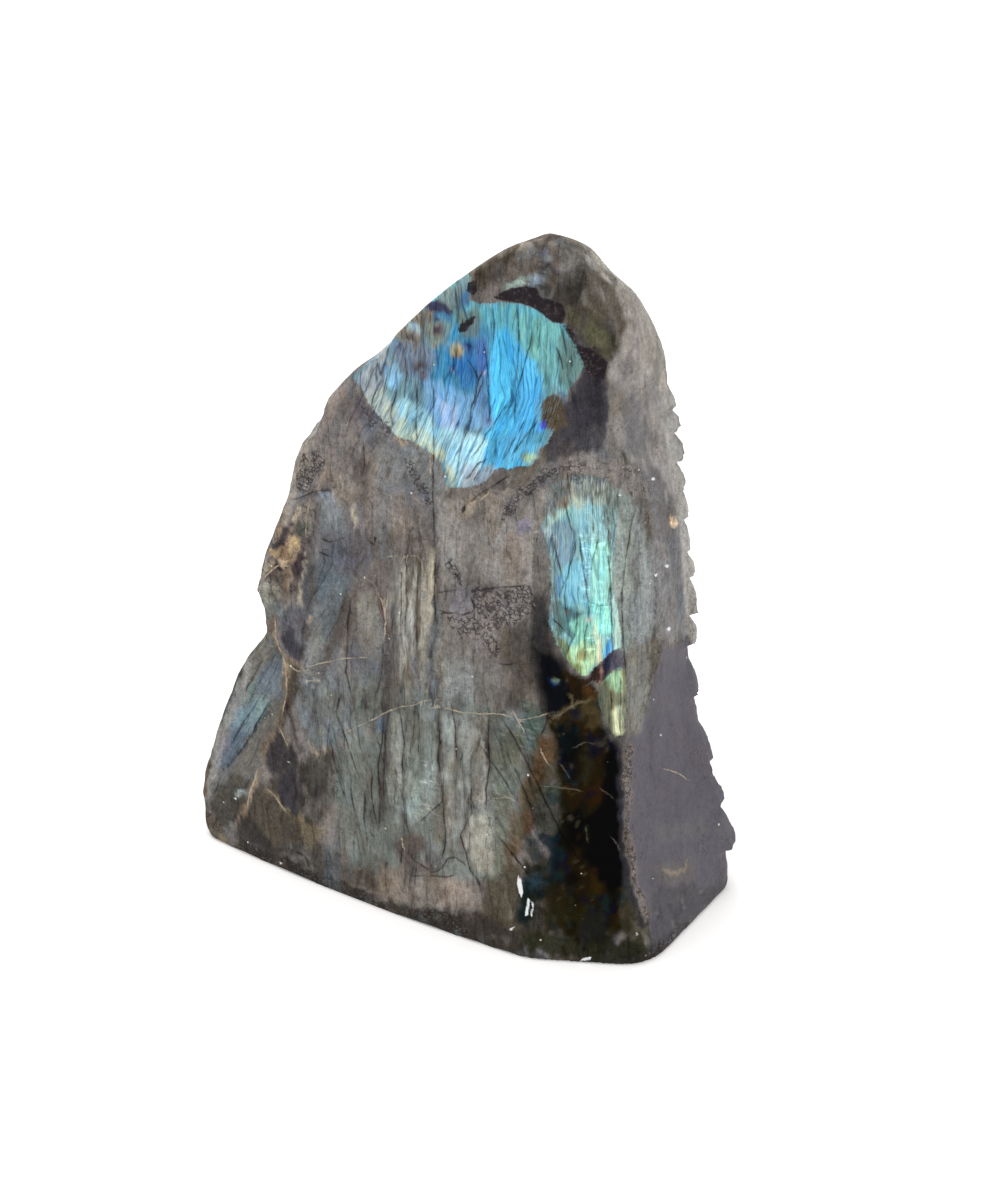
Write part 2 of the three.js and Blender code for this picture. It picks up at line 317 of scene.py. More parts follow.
class Graph:
    """A node tree that is written as expressions."""

    def __init__(self, tree):
        self.tree = tree

    def node(self, kind, settings=None, values=None, output=0):
        """One node: its settings are set first, then the values or wires of its sockets."""
        made = self.tree.nodes.new(kind)
        for name, value in (settings or {}).items():
            setattr(made, name, value)
        for socket, value in (values or {}).items():
            self.feed(made.inputs[socket], value)
        return Wire(self, made.outputs[output])

    def feed(self, socket, value):
        """A link from a wire, or a fixed value."""
        if isinstance(value, Wire):
            self.tree.links.new(value.socket, socket)
        else:
            socket.default_value = value

    def stretch(self, vector, scales):
        """A vector with each axis scaled by its own number."""
        return self.node("ShaderNodeVectorMath", {"operation": "MULTIPLY"}, {0: vector, 1: scales})


print("node helpers ready")

# %% [markdown]
# ## Low relief on the broken sides
# Feldspar breaks along two sets of flat planes, so a broken side is a flight of small shallow steps with a
# grain of chips on them. The steps follow a rule, which makes them a job for Geometry Nodes: a slow noise
# is cut into levels for the steps, a finer noise adds the chips, and each vertex moves along its normal by
# that height. Where the stone was ground the height fades out, and the underside stays flat.

# %% Build the relief tree
ROCK_NAME = "labradorite_finish"
STEPS = 7
STEP_EDGE = (0.72, 1.0)
STEP_STRETCH = (1.0, 1.0, 0.45)
CHIP_STRETCH = (1.0, 1.0, 0.6)
CHIP_SEED = 7
stone_material = bpy.data.materials.new(ROCK_NAME)


def relief_tree():
    """Moves vertices along their normals by stepped and chipped noise, where the attribute broken says so."""
    tree = bpy.data.node_groups.new("broken relief", "GeometryNodeTree")
    face = tree.interface
    face.new_socket("Geometry", in_out="INPUT", socket_type="NodeSocketGeometry")
    for name in ("Step Height", "Step Width", "Chip Height", "Chip Width", "Seed"):
        face.new_socket(name, in_out="INPUT", socket_type="NodeSocketFloat")
    face.new_socket("Geometry", in_out="OUTPUT", socket_type="NodeSocketGeometry")
    graph = Graph(tree)
    entry = tree.nodes.new("NodeGroupInput")
    given = {socket.name: Wire(graph, socket) for socket in entry.outputs if socket.name}

    def noise(width, stretch, shift):
        place = graph.stretch(graph.node("GeometryNodeInputPosition"), stretch)
        values = {"Vector": place, "W": given["Seed"] + shift, "Scale": 1 / width, "Detail": 3.0}
        return graph.node("ShaderNodeTexNoise", {"noise_dimensions": "4D"}, values)

    level = noise(given["Step Width"], STEP_STRETCH, 0) * STEPS
    whole = level.math("FLOOR", level)
    steps = (whole + (level - whole).ease(*STEP_EDGE)) * (1 / STEPS) - 0.5
    chips = noise(given["Chip Width"], CHIP_STRETCH, CHIP_SEED) - 0.5
    mask = graph.node("GeometryNodeInputNamedAttribute", {"data_type": "FLOAT"}, {"Name": "broken"})
    height = (steps * given["Step Height"] + chips * given["Chip Height"]) * mask
    normal = graph.node("GeometryNodeInputNormal")
    offset = graph.node("ShaderNodeVectorMath", {"operation": "SCALE"}, {0: normal, "Scale": height})
    moved = graph.node("GeometryNodeSetPosition", None, {"Geometry": given["Geometry"], "Offset": offset})
    real = graph.node("GeometryNodeRealizeInstances", None, {"Geometry": moved})
    dressed = graph.node("GeometryNodeSetMaterial", None, {"Geometry": real, "Material": stone_material})
    leave = tree.nodes.new("NodeGroupOutput")
    tree.links.new(dressed.socket, leave.inputs["Geometry"])
    return tree


relief = relief_tree()
print("relief tree:", len(relief.nodes), "nodes")

# %% Raise the relief
RELIEF_SIZES = {
    "Step Height": 2.6 * MM,
    "Step Width": 15 * MM,
    "Chip Height": 0.75 * MM,
    "Chip Width": 2.6 * MM,
    "Seed": 4.0,
}
FOOT_HEIGHT_RANGE = (0.4, 3.0)


def store(mesh, name, kind, values):
    """Keeps one value a vertex in a named attribute."""
    attribute = mesh.attributes.new(name, kind, "POINT")
    field = {"FLOAT": "value", "FLOAT_VECTOR": "vector", "FLOAT_COLOR": "color"}[kind]
    attribute.data.foreach_set(field, np.ascontiguousarray(values, np.float32).ravel())


def with_nodes(mesh, tree, sizes, name):
    """A mesh after a geometry tree, with the tree's inputs set by their identifiers."""
    thing = linked_object("blank", mesh)
    modifier = thing.modifiers.new("nodes", "NODES")
    modifier.node_group = tree
    for item in tree.interface.items_tree:
        if item.in_out == "INPUT" and item.name in sizes:
            modifier[item.identifier] = sizes[item.name]
    return applied(thing, name)


broken = (1 - ground) * (1 - on_foot) * ease(places(net)[:, 2], *FOOT_HEIGHT_RANGE)
store(net, "broken", "FLOAT", broken)
net = with_nodes(net, relief, RELIEF_SIZES, "net")
print("relief raised on", round(float(broken.mean()), 2), "of the net")

# %% [markdown]
# ## Fewer triangles at the back
# The front carries all the fine markings, so it keeps its small quads. The broken sides need far fewer, and
# the Decimate modifier thins the net only there. The whole stone then stays well under 200,000 triangles.

# %% Thin the net where it can be thin
KEPT_SHARE = 0.62
FRONT_GUARD = 0.97
FACING_RANGE = (-0.15, 0.05)


def thinned(mesh, share, weights):
    """A mesh with only that share of its triangles, the rest taken where weights are high."""
    thing = linked_object("thinning", mesh)
    thin = thing.modifiers.new("thin", "DECIMATE")
    thin.ratio = share
    thin.vertex_group = weighted(thing, "thinned", weights).name
    thin.vertex_group_factor = 1
    return applied(thing, mesh.name)


facing = normals(net) @ np.array(towards_camera)
net = thinned(net, KEPT_SHARE, 1 - FRONT_GUARD * ease(facing, *FACING_RANGE))
net.shade_smooth()
triangles = sum(len(face.vertices) - 2 for face in net.polygons)
print("thinned net:", len(net.vertices), "vertices,", triangles, "triangles")

# %% [markdown]
# ## The layout sheet
# The markings of the front are laid out on a flat sheet, as a sign painter would lay them out, in units of
# which about 4.3 make a millimetre. Every vertex that faces the camera has a place on the sheet. A little
# smooth noise shifts those places, so that an outline drawn with a few points gets a natural ragged edge on
# the stone. One of the noises is stretched along the grain, which feathers the upper and lower ends of a
# mark into streaks. Paint only takes where nothing nearer hides the surface: each small cell of the sheet
# keeps the depth of its nearest vertex, and what lies well behind that is left plain.

# %% Find each vertex's place on the sheet
SHEET_CELL = 8
TURNED_RANGE = (-0.08, 0.10)
TURNED_WAVER = 0.06
BEHIND_RANGE = (8.0, 12.0)
SLOW_SHIFT = 3.0
QUICK_SHIFT = 2.4
FEATHER_SHIFT = 4.5
NOISE_PRIMES = np.array([73856093, 19349663, 83492791])
NOISE_MIXERS = (0x2C1B3C6D, 0x297A2D39)
NOISE_BITS = 0xFFFFFFFF
SEED_STEP = 7919
SEED_SHIFT = 17.3


def depth_of(points):
    """How far points lie from the eye, in mm."""
    return (np.array(camera_place) / MM - points) @ np.array(towards_camera)


def on_sheet(points):
    """Where points of the row frame, in mm, fall on the layout sheet."""
    offsets = points - np.array(camera_place) / MM
    depth = depth_of(points)
    scale = LENS_MM / SENSOR_MM * SHEET_HEIGHT / depth
    across = SHEET_WIDTH / 2 + offsets @ np.array(sheet_right) * scale
    down = SHEET_HEIGHT / 2 - offsets @ np.array(sheet_up) * scale
    return np.stack([across, down], axis=1)


def lattice_noise(points, width, seed):
    """Smooth noise from -1 to 1 with bumps about as wide as width."""
    grid = points / width + seed * SEED_SHIFT
    cell = np.floor(grid).astype(np.int64)
    share = grid - cell
    share = share * share * (3 - 2 * share)
    total = np.zeros(len(points))
    for corner in itertools.product((0, 1), repeat=3):
        weight = np.prod(np.where(corner, share, 1 - share), axis=1)
        key = ((cell + corner) @ NOISE_PRIMES + seed * SEED_STEP) & NOISE_BITS
        key = ((key ^ (key >> 15)) * NOISE_MIXERS[0]) & NOISE_BITS
        key = ((key ^ (key >> 12)) * NOISE_MIXERS[1]) & NOISE_BITS
        key = key ^ (key >> 15)
        total += weight * (key / (NOISE_BITS / 2) - 1)
    return total


spots = places(net)
lean = normals(net)
sheet = on_sheet(spots)
seen = ease(lean @ np.array(towards_camera) + TURNED_WAVER * lattice_noise(spots, 4.0, 3), *TURNED_RANGE)
column, row = (sheet // SHEET_CELL).astype(int).T
nearest = np.full((column.max() + 1, row.max() + 1), np.inf)
np.minimum.at(nearest, (column, row), depth_of(spots))
seen *= 1 - ease(depth_of(spots) - nearest[column, row], *BEHIND_RANGE)
slow_shift = np.stack([lattice_noise(spots, 7.0, 11), lattice_noise(spots, 7.0, 12)], axis=1)
quick_shift = np.stack([lattice_noise(spots, 1.9, 13), lattice_noise(spots, 1.9, 14)], axis=1)
feather = lattice_noise(spots * (1, 1, 0.14), 1.3, 15) + 0.6 * lattice_noise(spots * (1, 1, 0.2), 2.9, 16)
ragged_sheet = sheet + SLOW_SHIFT * slow_shift + QUICK_SHIFT * quick_shift
ragged_sheet[:, 1] += FEATHER_SHIFT * feather
print("sheet range:", sheet.min(axis=0).round(), sheet.max(axis=0).round())

# %% [markdown]
# ## Paint
# Colour is laid on in washes and strokes, broad ones first, and each covers what lies under it. A wash
# fills an outline, a stroke follows a path, and both have soft or hard edges. The same brushes also paint
# finish: where the stone is matt, silky or pitted. This way was chosen over a picture because a mark then
# has a size, an edge and a name, and can be moved.

# %% Brushes
def linear(code):
    """A colour written as six hexadecimal digits, as linear light."""
    parts = np.array([int(code[start:start + 2], 16) / 255 for start in (1, 3, 5)])
    return np.where(parts <= 0.04045, parts / 12.92, ((parts + 0.055) / 1.055) ** 2.4)


def near(points, marks, margin):
    """The indices of the points that lie in the box of some marks, or that close to it."""
    low = marks.min(axis=0) - margin
    high = marks.max(axis=0) + margin
    return np.flatnonzero(np.all((points > low) & (points < high), axis=1))


def to_path(points, path):
    """From each point to an open path: the distance, the same signed by side, and the share of the way."""
    distance = np.full(len(points), np.inf)
    signed = np.zeros(len(points))
    travel = np.zeros(len(points))
    lengths = np.hypot(*np.diff(path, axis=0).T)
    before = 0
    for start, end, length in zip(path[:-1], path[1:], lengths):
        along = (end - start) / length
        offset = points - start
        run = np.clip(offset @ along, 0, length)
        gap = offset - run[:, None] * along
        this = np.hypot(gap[:, 0], gap[:, 1])
        closer = this < distance
        side = np.sign(along[0] * offset[:, 1] - along[1] * offset[:, 0])
        distance[closer] = this[closer]
        signed[closer] = (this * np.where(side == 0, 1, side))[closer]
        travel[closer] = ((before + run) / lengths.sum())[closer]
        before += length
    return distance, signed, travel


def within(points, outline):
    """How far each point lies inside a closed outline, negative outside it."""
    closed = np.vstack([outline, outline[:1]])
    distance = to_path(points, closed)[0]
    inside = np.zeros(len(points), bool)
    for (x0, y0), (x1, y1) in zip(closed[:-1], closed[1:]):
        if y0 == y1:
            continue
        crosses = (y0 > points[:, 1]) != (y1 > points[:, 1])
        inside ^= crosses & (points[:, 0] < x0 + (points[:, 1] - y0) * (x1 - x0) / (y1 - y0))
    return np.where(inside, distance, -distance)


EDGE_SOFTNESS = 0.55
CLOUD_STRETCH = (1, 1, 0.55)
BARE_ROCK = "#5F5951"
BARE_GLOW = "#6C8C96"
BROKEN_MATT = 0.85
BROKEN_SILK = 0.45


def wash(layer, colour, strength, soft, outline):
    """Paints the inside of an outline, over an edge that is soft units wide."""
    outline = np.array(outline, float)
    soft = soft * EDGE_SOFTNESS
    index = near(ragged_sheet, outline, soft)
    cover = ease(within(ragged_sheet[index], outline), -soft, soft) * strength * seen[index]
    lay(layer, index, cover, colour)


def lay(layer, index, cover, colour):
    """Mixes a colour, or a number, into a layer at some vertices."""
    paint = linear(colour) if isinstance(colour, str) else colour
    if layer.ndim == 2:
        cover = cover[:, None]
    layer[index] += (paint - layer[index]) * cover


vertex_count = len(spots)
tone = np.tile(linear(BARE_ROCK), (vertex_count, 1))
glow = np.tile(linear(BARE_GLOW), (vertex_count, 1))
matt = np.full(vertex_count, BROKEN_MATT)
silk = np.full(vertex_count, BROKEN_SILK)
veil = np.ones(vertex_count)
pits = np.zeros(vertex_count)
print("layers for", vertex_count, "vertices")

# %% [markdown]
# ## The plain rock
# Away from the ground faces the stone is dull grey-brown rock. Iron stains it ochre in the cracks, a
# blue-grey sheen shows where a cleavage plane lies open, and some planes are nearly black. Each is a slow
# noise in space, cut to patches, so the back is as varied as the front.

# %% Paint the plain rock
def rock_patches(colour, width, seed, start, end, strength):
    """Patches of a colour all over the stone, where a noise passes a level."""
    slow = lattice_noise(spots * CLOUD_STRETCH, width, seed)
    quick = lattice_noise(spots, width / 3.1, seed + 1)
    lay(tone, slice(None), ease(slow + 0.45 * quick, start, end) * strength, colour)


rock_patches("#7B766D", 15, 21, -0.1, 0.6, 0.75)
rock_patches("#3D3A3A", 11, 23, 0.25, 0.75, 0.75)
rock_patches("#666C6F", 13, 25, 0.35, 0.8, 0.55)
rock_patches("#8C7A5C", 8, 27, 0.55, 0.95, 0.65)
rock_patches("#A2937A", 5, 29, 0.80, 1.1, 0.60)
rock_patches("#332F2C", 4, 31, 0.72, 1.05, 0.60)
print("mean rock colour, linear:", tone.mean(axis=0).round(3))

# %% [markdown]
# ## Ground colours of the front
# Under its markings the polished face is a grey-brown taupe. The crest is warmer where it turns, and paler
# there from a painted reflection; the upper side is lighter from painted light where it faces up to the lamp.
# The honed side is an even slate, and the low right of the face is so clear that it looks almost black.

# %% Paint the broad zones
BROAD_ZONES = [
    # name, colour, strength, edge in sheet units, outline on the sheet
    ("polished face", "#756F6C", 1.0, 5, [
        (557, 225), (612, 300), (618, 360), (606, 420), (640, 480), (652, 560), (650, 660), (636, 735),
        (622, 760), (624, 850), (645, 940), (600, 975), (470, 940), (330, 895), (230, 850), (212, 790),
        (235, 710), (275, 630), (262, 590), (290, 500), (300, 440), (340, 385), (430, 295), (500, 250)]),
    ("slate side", "#625F66", 1.0, 4, [
        (705, 640), (662, 648), (654, 680), (650, 712), (640, 728), (628, 742), (627, 800), (632, 860),
        (640, 905), (650, 935), (660, 960), (740, 930), (745, 800), (720, 700)]),
    # upper side: lighter than the slate below it, painted light where the face turns up to the lamp
    ("upper side", "#8C8885", 1.0, 6, [
        (628, 326), (614, 360), (606, 395), (606, 440), (640, 470), (660, 500), (690, 520), (690, 420),
        (672, 350), (640, 290)]),
    ("side beside the flash", "#838283", 1.0, 7, [
        (640, 470), (652, 520), (656, 580), (660, 640), (700, 640), (702, 560), (690, 470)]),
    ("crest", "#5C564D", 0.9, 8, [
        (420, 300), (480, 262), (557, 220), (620, 262), (650, 320), (620, 330), (600, 292), (560, 262),
        (520, 272), (476, 288), (430, 318)]),
    # crest turn: its paleness is a painted reflection on the polish
    ("crest turn", "#9C978F", 0.9, 7, [
        (588, 240), (622, 262), (654, 310), (672, 372), (664, 392), (640, 372), (624, 352), (630, 318),
        (612, 284), (590, 262)]),
    ("green-brown under the crest", "#46423B", 0.95, 7, [
        (545, 268), (580, 278), (606, 310), (618, 345), (610, 362), (580, 345), (566, 322), (545, 300),
        (520, 284)]),
    ("foot band", "#332F29", 0.95, 5, [
        (236, 838), (270, 852), (330, 878), (400, 903), (470, 916), (500, 911), (546, 912), (600, 940),
        (640, 948), (690, 915), (700, 930), (640, 980), (560, 980), (400, 930), (230, 860)]),
]


def paint_all(layer, zones):
    """Lays a list of named washes, one over the other."""
    for name, colour, strength, soft, outline in zones:
        wash(layer, colour, strength, soft, outline)
    print(len(zones), "washes, the last one:", zones[-1][0])


def outline_of(zones, wanted):
    """The outline of a named wash."""
    return next(zone[-1] for zone in zones if zone[0] == wanted)


paint_all(tone, BROAD_ZONES)

# %% [markdown]
# ## Patches of the middle and the left
# Close to, the face is a patchwork. Each block of crystal was laid down with its own lean, so one is
# silvery, the next blue-grey and the next brown. These are drawn one by one, from the top down.

# %% Paint the upper left and the middle
MIDDLE_PATCHES = [
    ("grey shoulder", "#6C696A", 0.9, 6, [
        (345, 388), (392, 432), (440, 450), (448, 488), (400, 492), (330, 470), (322, 420)]),
    ("purple shade by the flash", "#55525A", 0.75, 6, [
        (354, 394), (374, 410), (394, 432), (404, 450), (384, 454), (364, 446), (350, 424)]),
    ("warm shoulder", "#857F7A", 0.8, 6, [(366, 450), (398, 446), (402, 490), (384, 508), (368, 490)]),
    ("blue-grey notch", "#94928F", 0.85, 4, [
        (404, 450), (430, 452), (446, 468), (446, 490), (424, 500), (408, 486)]),
    ("dark notch line", "#5C5A60", 0.8, 4, [
        (402, 452), (412, 470), (424, 488), (436, 502), (430, 518), (412, 490)]),
    ("speckled dark patch", "#7A7572", 0.95, 4, [
        (303, 450), (316, 452), (326, 462), (314, 478), (308, 492), (292, 490)]),
    ("pink streak", "#938781", 0.8, 4, [(328, 462), (332, 472), (322, 490), (312, 494), (318, 478)]),
    ("olive smudge", "#867F78", 0.85, 5, [(328, 484), (356, 482), (360, 498), (332, 500)]),
    ("sky-grey block", "#888C90", 0.95, 4, [(318, 498), (346, 500), (346, 530), (336, 538), (320, 532)]),
    ("grey block", "#7E7C80", 0.8, 4, [(344, 500), (366, 502), (366, 532), (346, 532)]),
    ("cream streak", "#B8B0A8", 0.8, 2.5, [(350, 502), (356, 502), (358, 522), (362, 530), (354, 524)]),
    ("dark band below", "#646266", 0.9, 6, [
        (312, 532), (362, 530), (376, 548), (366, 575), (330, 572), (310, 560)]),
    ("violet glint", "#6F6C7C", 0.8, 3, [(338, 558), (350, 554), (356, 562), (342, 568)]),
    ("brown cloud", "#5A5450", 0.8, 5, [
        (376, 532), (402, 534), (424, 552), (396, 552), (384, 560), (370, 548)]),
    ("tan smudge", "#A2917B", 0.75, 4, [(392, 518), (408, 518), (408, 534), (396, 532)]),
    ("warm middle left", "#847D78", 0.7, 8, [(380, 492), (428, 500), (432, 550), (398, 546), (376, 520)]),
    ("blue-grey slab", "#6C757A", 0.95, 5, [
        (318, 578), (350, 570), (346, 600), (334, 636), (322, 668), (306, 672), (304, 650), (312, 610)]),
    ("dark gap left of the slab", "#505258", 0.85, 4, [
        (306, 560), (316, 572), (312, 606), (302, 612), (303, 580)]),
    ("brown seam", "#605C56", 0.5, 3, [
        (352, 588), (358, 600), (342, 640), (328, 664), (320, 664), (334, 630), (346, 600)]),
    ("green-grey block", "#88867F", 0.95, 5, [
        (356, 598), (368, 586), (382, 598), (386, 640), (380, 660), (364, 650), (354, 632)]),
    ("blue-grey under it", "#6D737A", 0.8, 5, [
        (352, 636), (372, 650), (388, 664), (380, 700), (356, 690), (350, 660)]),
    ("silver columns", "#7C7A76", 0.95, 4, [
        (392, 558), (416, 556), (420, 600), (416, 650), (408, 690), (394, 690), (390, 640), (388, 590)]),
    ("brown column", "#7B6C5B", 0.85, 4, [(417, 560), (430, 562), (428, 612), (426, 660), (418, 660)]),
    ("blue-grey column", "#727C86", 0.9, 3, [
        (430, 592), (440, 600), (440, 650), (438, 700), (428, 700), (430, 650)]),
    ("taupe middle", "#928B84", 0.9, 8, [
        (436, 492), (500, 490), (545, 490), (545, 560), (530, 586), (440, 590)]),
    ("tan blotch", "#C4B6A2", 0.85, 3, [(466, 502), (474, 500), (474, 510), (464, 524), (460, 518)]),
    ("warm spot", "#9E9088", 0.7, 7, [(500, 538), (522, 536), (526, 576), (504, 580)]),
    ("purple patch", "#867F90", 0.8, 4, [(514, 524), (530, 522), (532, 534), (516, 536)]),
    ("lilac grey", "#857F82", 0.9, 6, [(440, 592), (470, 592), (488, 612), (460, 614), (442, 612)]),
    ("pitted field", "#857D7A", 0.9, 5, [
        (470, 594), (534, 586), (536, 612), (508, 628), (500, 654), (488, 658), (440, 616), (468, 612)]),
    ("lower taupe", "#7F7B76", 0.9, 8, [(442, 622), (486, 660), (500, 700), (500, 716), (440, 708)]),
    ("brown right of the pits", "#59534D", 0.9, 7, [
        (504, 630), (528, 618), (532, 650), (536, 706), (508, 706), (500, 664)]),
    ("navy edge", "#26232A", 0.9, 6, [
        (532, 596), (546, 604), (552, 650), (560, 668), (556, 690), (540, 690), (530, 650)]),
    ("silvery strokes", "#868888", 0.7, 6, [(446, 650), (474, 664), (480, 706), (450, 706)]),
    ("shade left of the flash", "#625E5B", 0.8, 6, [
        (536, 530), (546, 540), (552, 580), (544, 600), (534, 586), (530, 556)]),
]
paint_all(tone, MIDDLE_PATCHES)

# %% Paint the lower left and the streaked foot
FOOT_PATCHES = [
    ("streaked field", "#757A76", 1.0, 8, [
        (306, 672), (440, 690), (500, 712), (545, 720), (540, 770), (520, 840), (500, 880), (400, 880),
        (350, 865), (330, 800), (350, 745), (308, 742)]),
    ("left of the field", "#6E7173", 0.9, 6, [
        (302, 672), (340, 666), (352, 700), (344, 740), (312, 742), (300, 710)]),
    ("brown-black ground", "#383532", 0.95, 7, [
        (262, 780), (292, 766), (330, 752), (346, 770), (332, 812), (318, 830), (300, 856), (262, 848),
        (240, 830), (248, 806)]),
    ("olive dusk", "#4D4A46", 0.8, 6, [(312, 752), (344, 756), (344, 800), (322, 800), (306, 780)]),
    ("pale slip", "#8B9395", 0.8, 3, [(292, 840), (300, 836), (304, 848), (290, 852)]),
    ("brown foot", "#524B44", 0.9, 6, [
        (304, 852), (330, 842), (384, 862), (396, 896), (340, 882), (300, 868)]),
    ("grey-green column", "#70746F", 0.9, 6, [
        (336, 752), (374, 736), (384, 800), (380, 850), (352, 862), (336, 812)]),
    ("pale green column", "#868C86", 0.9, 6, [
        (386, 712), (436, 712), (440, 800), (410, 830), (388, 838), (384, 770)]),
    ("ice streak", "#98A6A0", 0.8, 4, [(404, 762), (420, 766), (420, 808), (410, 820), (402, 800)]),
    ("silver rungs", "#8A908A", 0.7, 4, [(424, 734), (440, 742), (440, 800), (424, 806)]),
    ("blue block", "#5F7086", 0.85, 3, [(374, 716), (388, 714), (386, 730), (376, 734)]),
    ("steel column", "#9CA19E", 0.9, 5, [
        (444, 716), (468, 718), (470, 790), (462, 836), (446, 850), (442, 780)]),
    ("warm column", "#9E9C95", 0.9, 5, [(468, 716), (488, 718), (490, 790), (484, 810), (472, 806)]),
    ("pale block", "#A2A197", 0.9, 6, [
        (472, 816), (490, 812), (496, 842), (492, 878), (476, 872), (466, 842)]),
    ("green-brown wedge", "#64685B", 0.9, 7, [
        (490, 716), (538, 726), (540, 760), (524, 800), (500, 800), (490, 760)]),
    ("sage wedge", "#6D7065", 0.8, 6, [(494, 796), (518, 800), (528, 836), (510, 872), (496, 868)]),
    ("teal edge", "#505F58", 0.85, 5, [(520, 700), (544, 704), (540, 756), (530, 772), (522, 740)]),
    ("purple-brown stain", "#5B504C", 0.9, 6, [(396, 838), (420, 836), (442, 858), (430, 876), (400, 872)]),
    ("slate smear", "#6A6A6C", 0.8, 4, [(420, 846), (444, 862), (436, 872), (420, 862)]),
    ("sand foot", "#877B70", 0.9, 5, [(376, 872), (402, 862), (404, 900), (384, 894)]),
    ("pink-grey foot", "#91867D", 0.95, 5, [
        (402, 874), (440, 878), (462, 878), (478, 912), (440, 908), (404, 900)]),
    ("dusk right of it", "#4C463A", 0.9, 6, [(486, 872), (520, 862), (520, 930), (484, 914)]),
]
paint_all(tone, FOOT_PATCHES)

# %% [markdown]
# No block of the stone has one even colour, so clouds of brown, blue-grey and pale taupe are laid over
# them. Each is a noise cut at a level, kept inside an outline.

# %% Paint clouds over the face
CLOUD_EDGE = 5.0
CLOUD_SEED = 40
FACE = outline_of(BROAD_ZONES, "polished face")
FIELD = outline_of(FOOT_PATCHES, "streaked field")
FACE_CLOUDS = [
    # name, colour, strength, width in mm, level, outline
    ("brown dusk", "#4F4841", 0.40, 6.0, 0.30, FACE),
    ("pale taupe", "#968F87", 0.30, 5.0, 0.35, FACE),
    ("blue-grey", "#6C767E", 0.32, 6.5, 0.35, FACE),
    ("olive", "#625D4D", 0.30, 5.0, 0.42, FACE),
    ("dark freckles", "#433D3B", 0.40, 2.2, 0.55, FACE),
    ("dark of the field", "#50514D", 0.24, 3.6, 0.40, FIELD),
    ("ice of the field", "#94A09B", 0.22, 4.4, 0.38, FIELD),
]


def cloud(layer, colour, strength, width, seed, level, outline):
    """Paints patches about width mm wide inside an outline, where a noise passes a level."""
    outline = np.array(outline, float)
    index = near(ragged_sheet, outline, CLOUD_EDGE)
    places_here = spots[index] * CLOUD_STRETCH
    height = lattice_noise(places_here, width, seed) + 0.5 * lattice_noise(places_here, width / 2.7, seed + 1)
    cover = ease(height, level - 0.10, level + 0.14) * strength * seen[index]
    cover = cover * ease(within(ragged_sheet[index], outline), -CLOUD_EDGE, CLOUD_EDGE)
    lay(layer, index, cover, colour)


def paint_clouds(layer, clouds):
    """Lays a list of named clouds, one over the other."""
    for number, (name, colour, strength, width, level, outline) in enumerate(clouds):
        cloud(layer, colour, strength, width, CLOUD_SEED + 2 * number, level, outline)
    print(len(clouds), "clouds, the last one:", clouds[-1][0])


paint_clouds(tone, FACE_CLOUDS)

# %% [markdown]
# Between the blocks run dark seams, and the columns of the middle are drawn out in long silvery streaks. They
# are strokes: a path, a width and a colour, thinning out at both ends. A path needs fewer points than an
# outline, so this is the brush for every narrow mark.

# %% Paint the seams and the silvery columns
STROKE_TAPER = (-0.06, 0.14)
SEAMS = [
    # colour, strength, width, path: dark seams between the blades, then pale lines beside them
    ("#4C4644", 0.75, 6.0, [(390, 655), (388, 700), (385, 740), (382, 790), (379, 832)]),
    ("#4A4440", 0.80, 4.5, [(434, 660), (437, 700), (440, 740), (443, 785), (444, 826)]),
    ("#554E47", 0.70, 5.5, [(345, 584), (342, 613), (331, 647), (322, 664)]),
    ("#50494B", 0.70, 4.0, [(328, 658), (317, 691), (314, 719), (306, 746)]),
    ("#544D49", 0.60, 4.0, [(346, 613), (348, 640), (356, 674), (350, 720)]),
    ("#5A514B", 0.60, 4.0, [(383, 588), (386, 624), (389, 658)]),
    ("#544E49", 0.60, 3.5, [(469, 766), (472, 797), (467, 830), (461, 841), (467, 858), (480, 884)]),
    ("#575049", 0.60, 3.5, [(489, 716), (488, 740), (490, 790)]),
    ("#514C48", 0.60, 3.5, [(462, 716), (478, 732), (496, 750), (511, 780), (520, 800)]),
    ("#5C554C", 0.55, 5.0, [(418, 560), (420, 610), (420, 660), (428, 700)]),
    ("#554E4A", 0.50, 3.5, [(405, 700), (406, 740), (404, 790), (408, 840)]),
    ("#554F4B", 0.50, 3.5, [(364, 750), (368, 790), (374, 840), (378, 866)]),
    ("#565049", 0.50, 3.0, [(352, 770), (362, 820), (366, 860)]),
    ("#565049", 0.50, 3.0, [(456, 700), (458, 740), (456, 800), (450, 860)]),
    ("#4F4A49", 0.45, 4.0, [(300, 560), (310, 590), (308, 640), (302, 668)]),
    ("#4E4846", 0.55, 4.0, [(400, 500), (420, 520), (436, 560), (442, 600)]),
    ("#A9A79C", 0.60, 2.6, [(427, 552), (427, 600), (426, 660)]),
    ("#A5A39A", 0.45, 4.0, [(406, 562), (408, 610), (404, 672)]),
    ("#9DA5A6", 0.45, 3.5, [(448, 650), (452, 690), (450, 706)]),
    ("#98A19E", 0.45, 4.5, [(428, 724), (430, 770), (428, 820)]),
    ("#9AA5A4", 0.40, 4.0, [(398, 726), (398, 780), (396, 826)]),
]
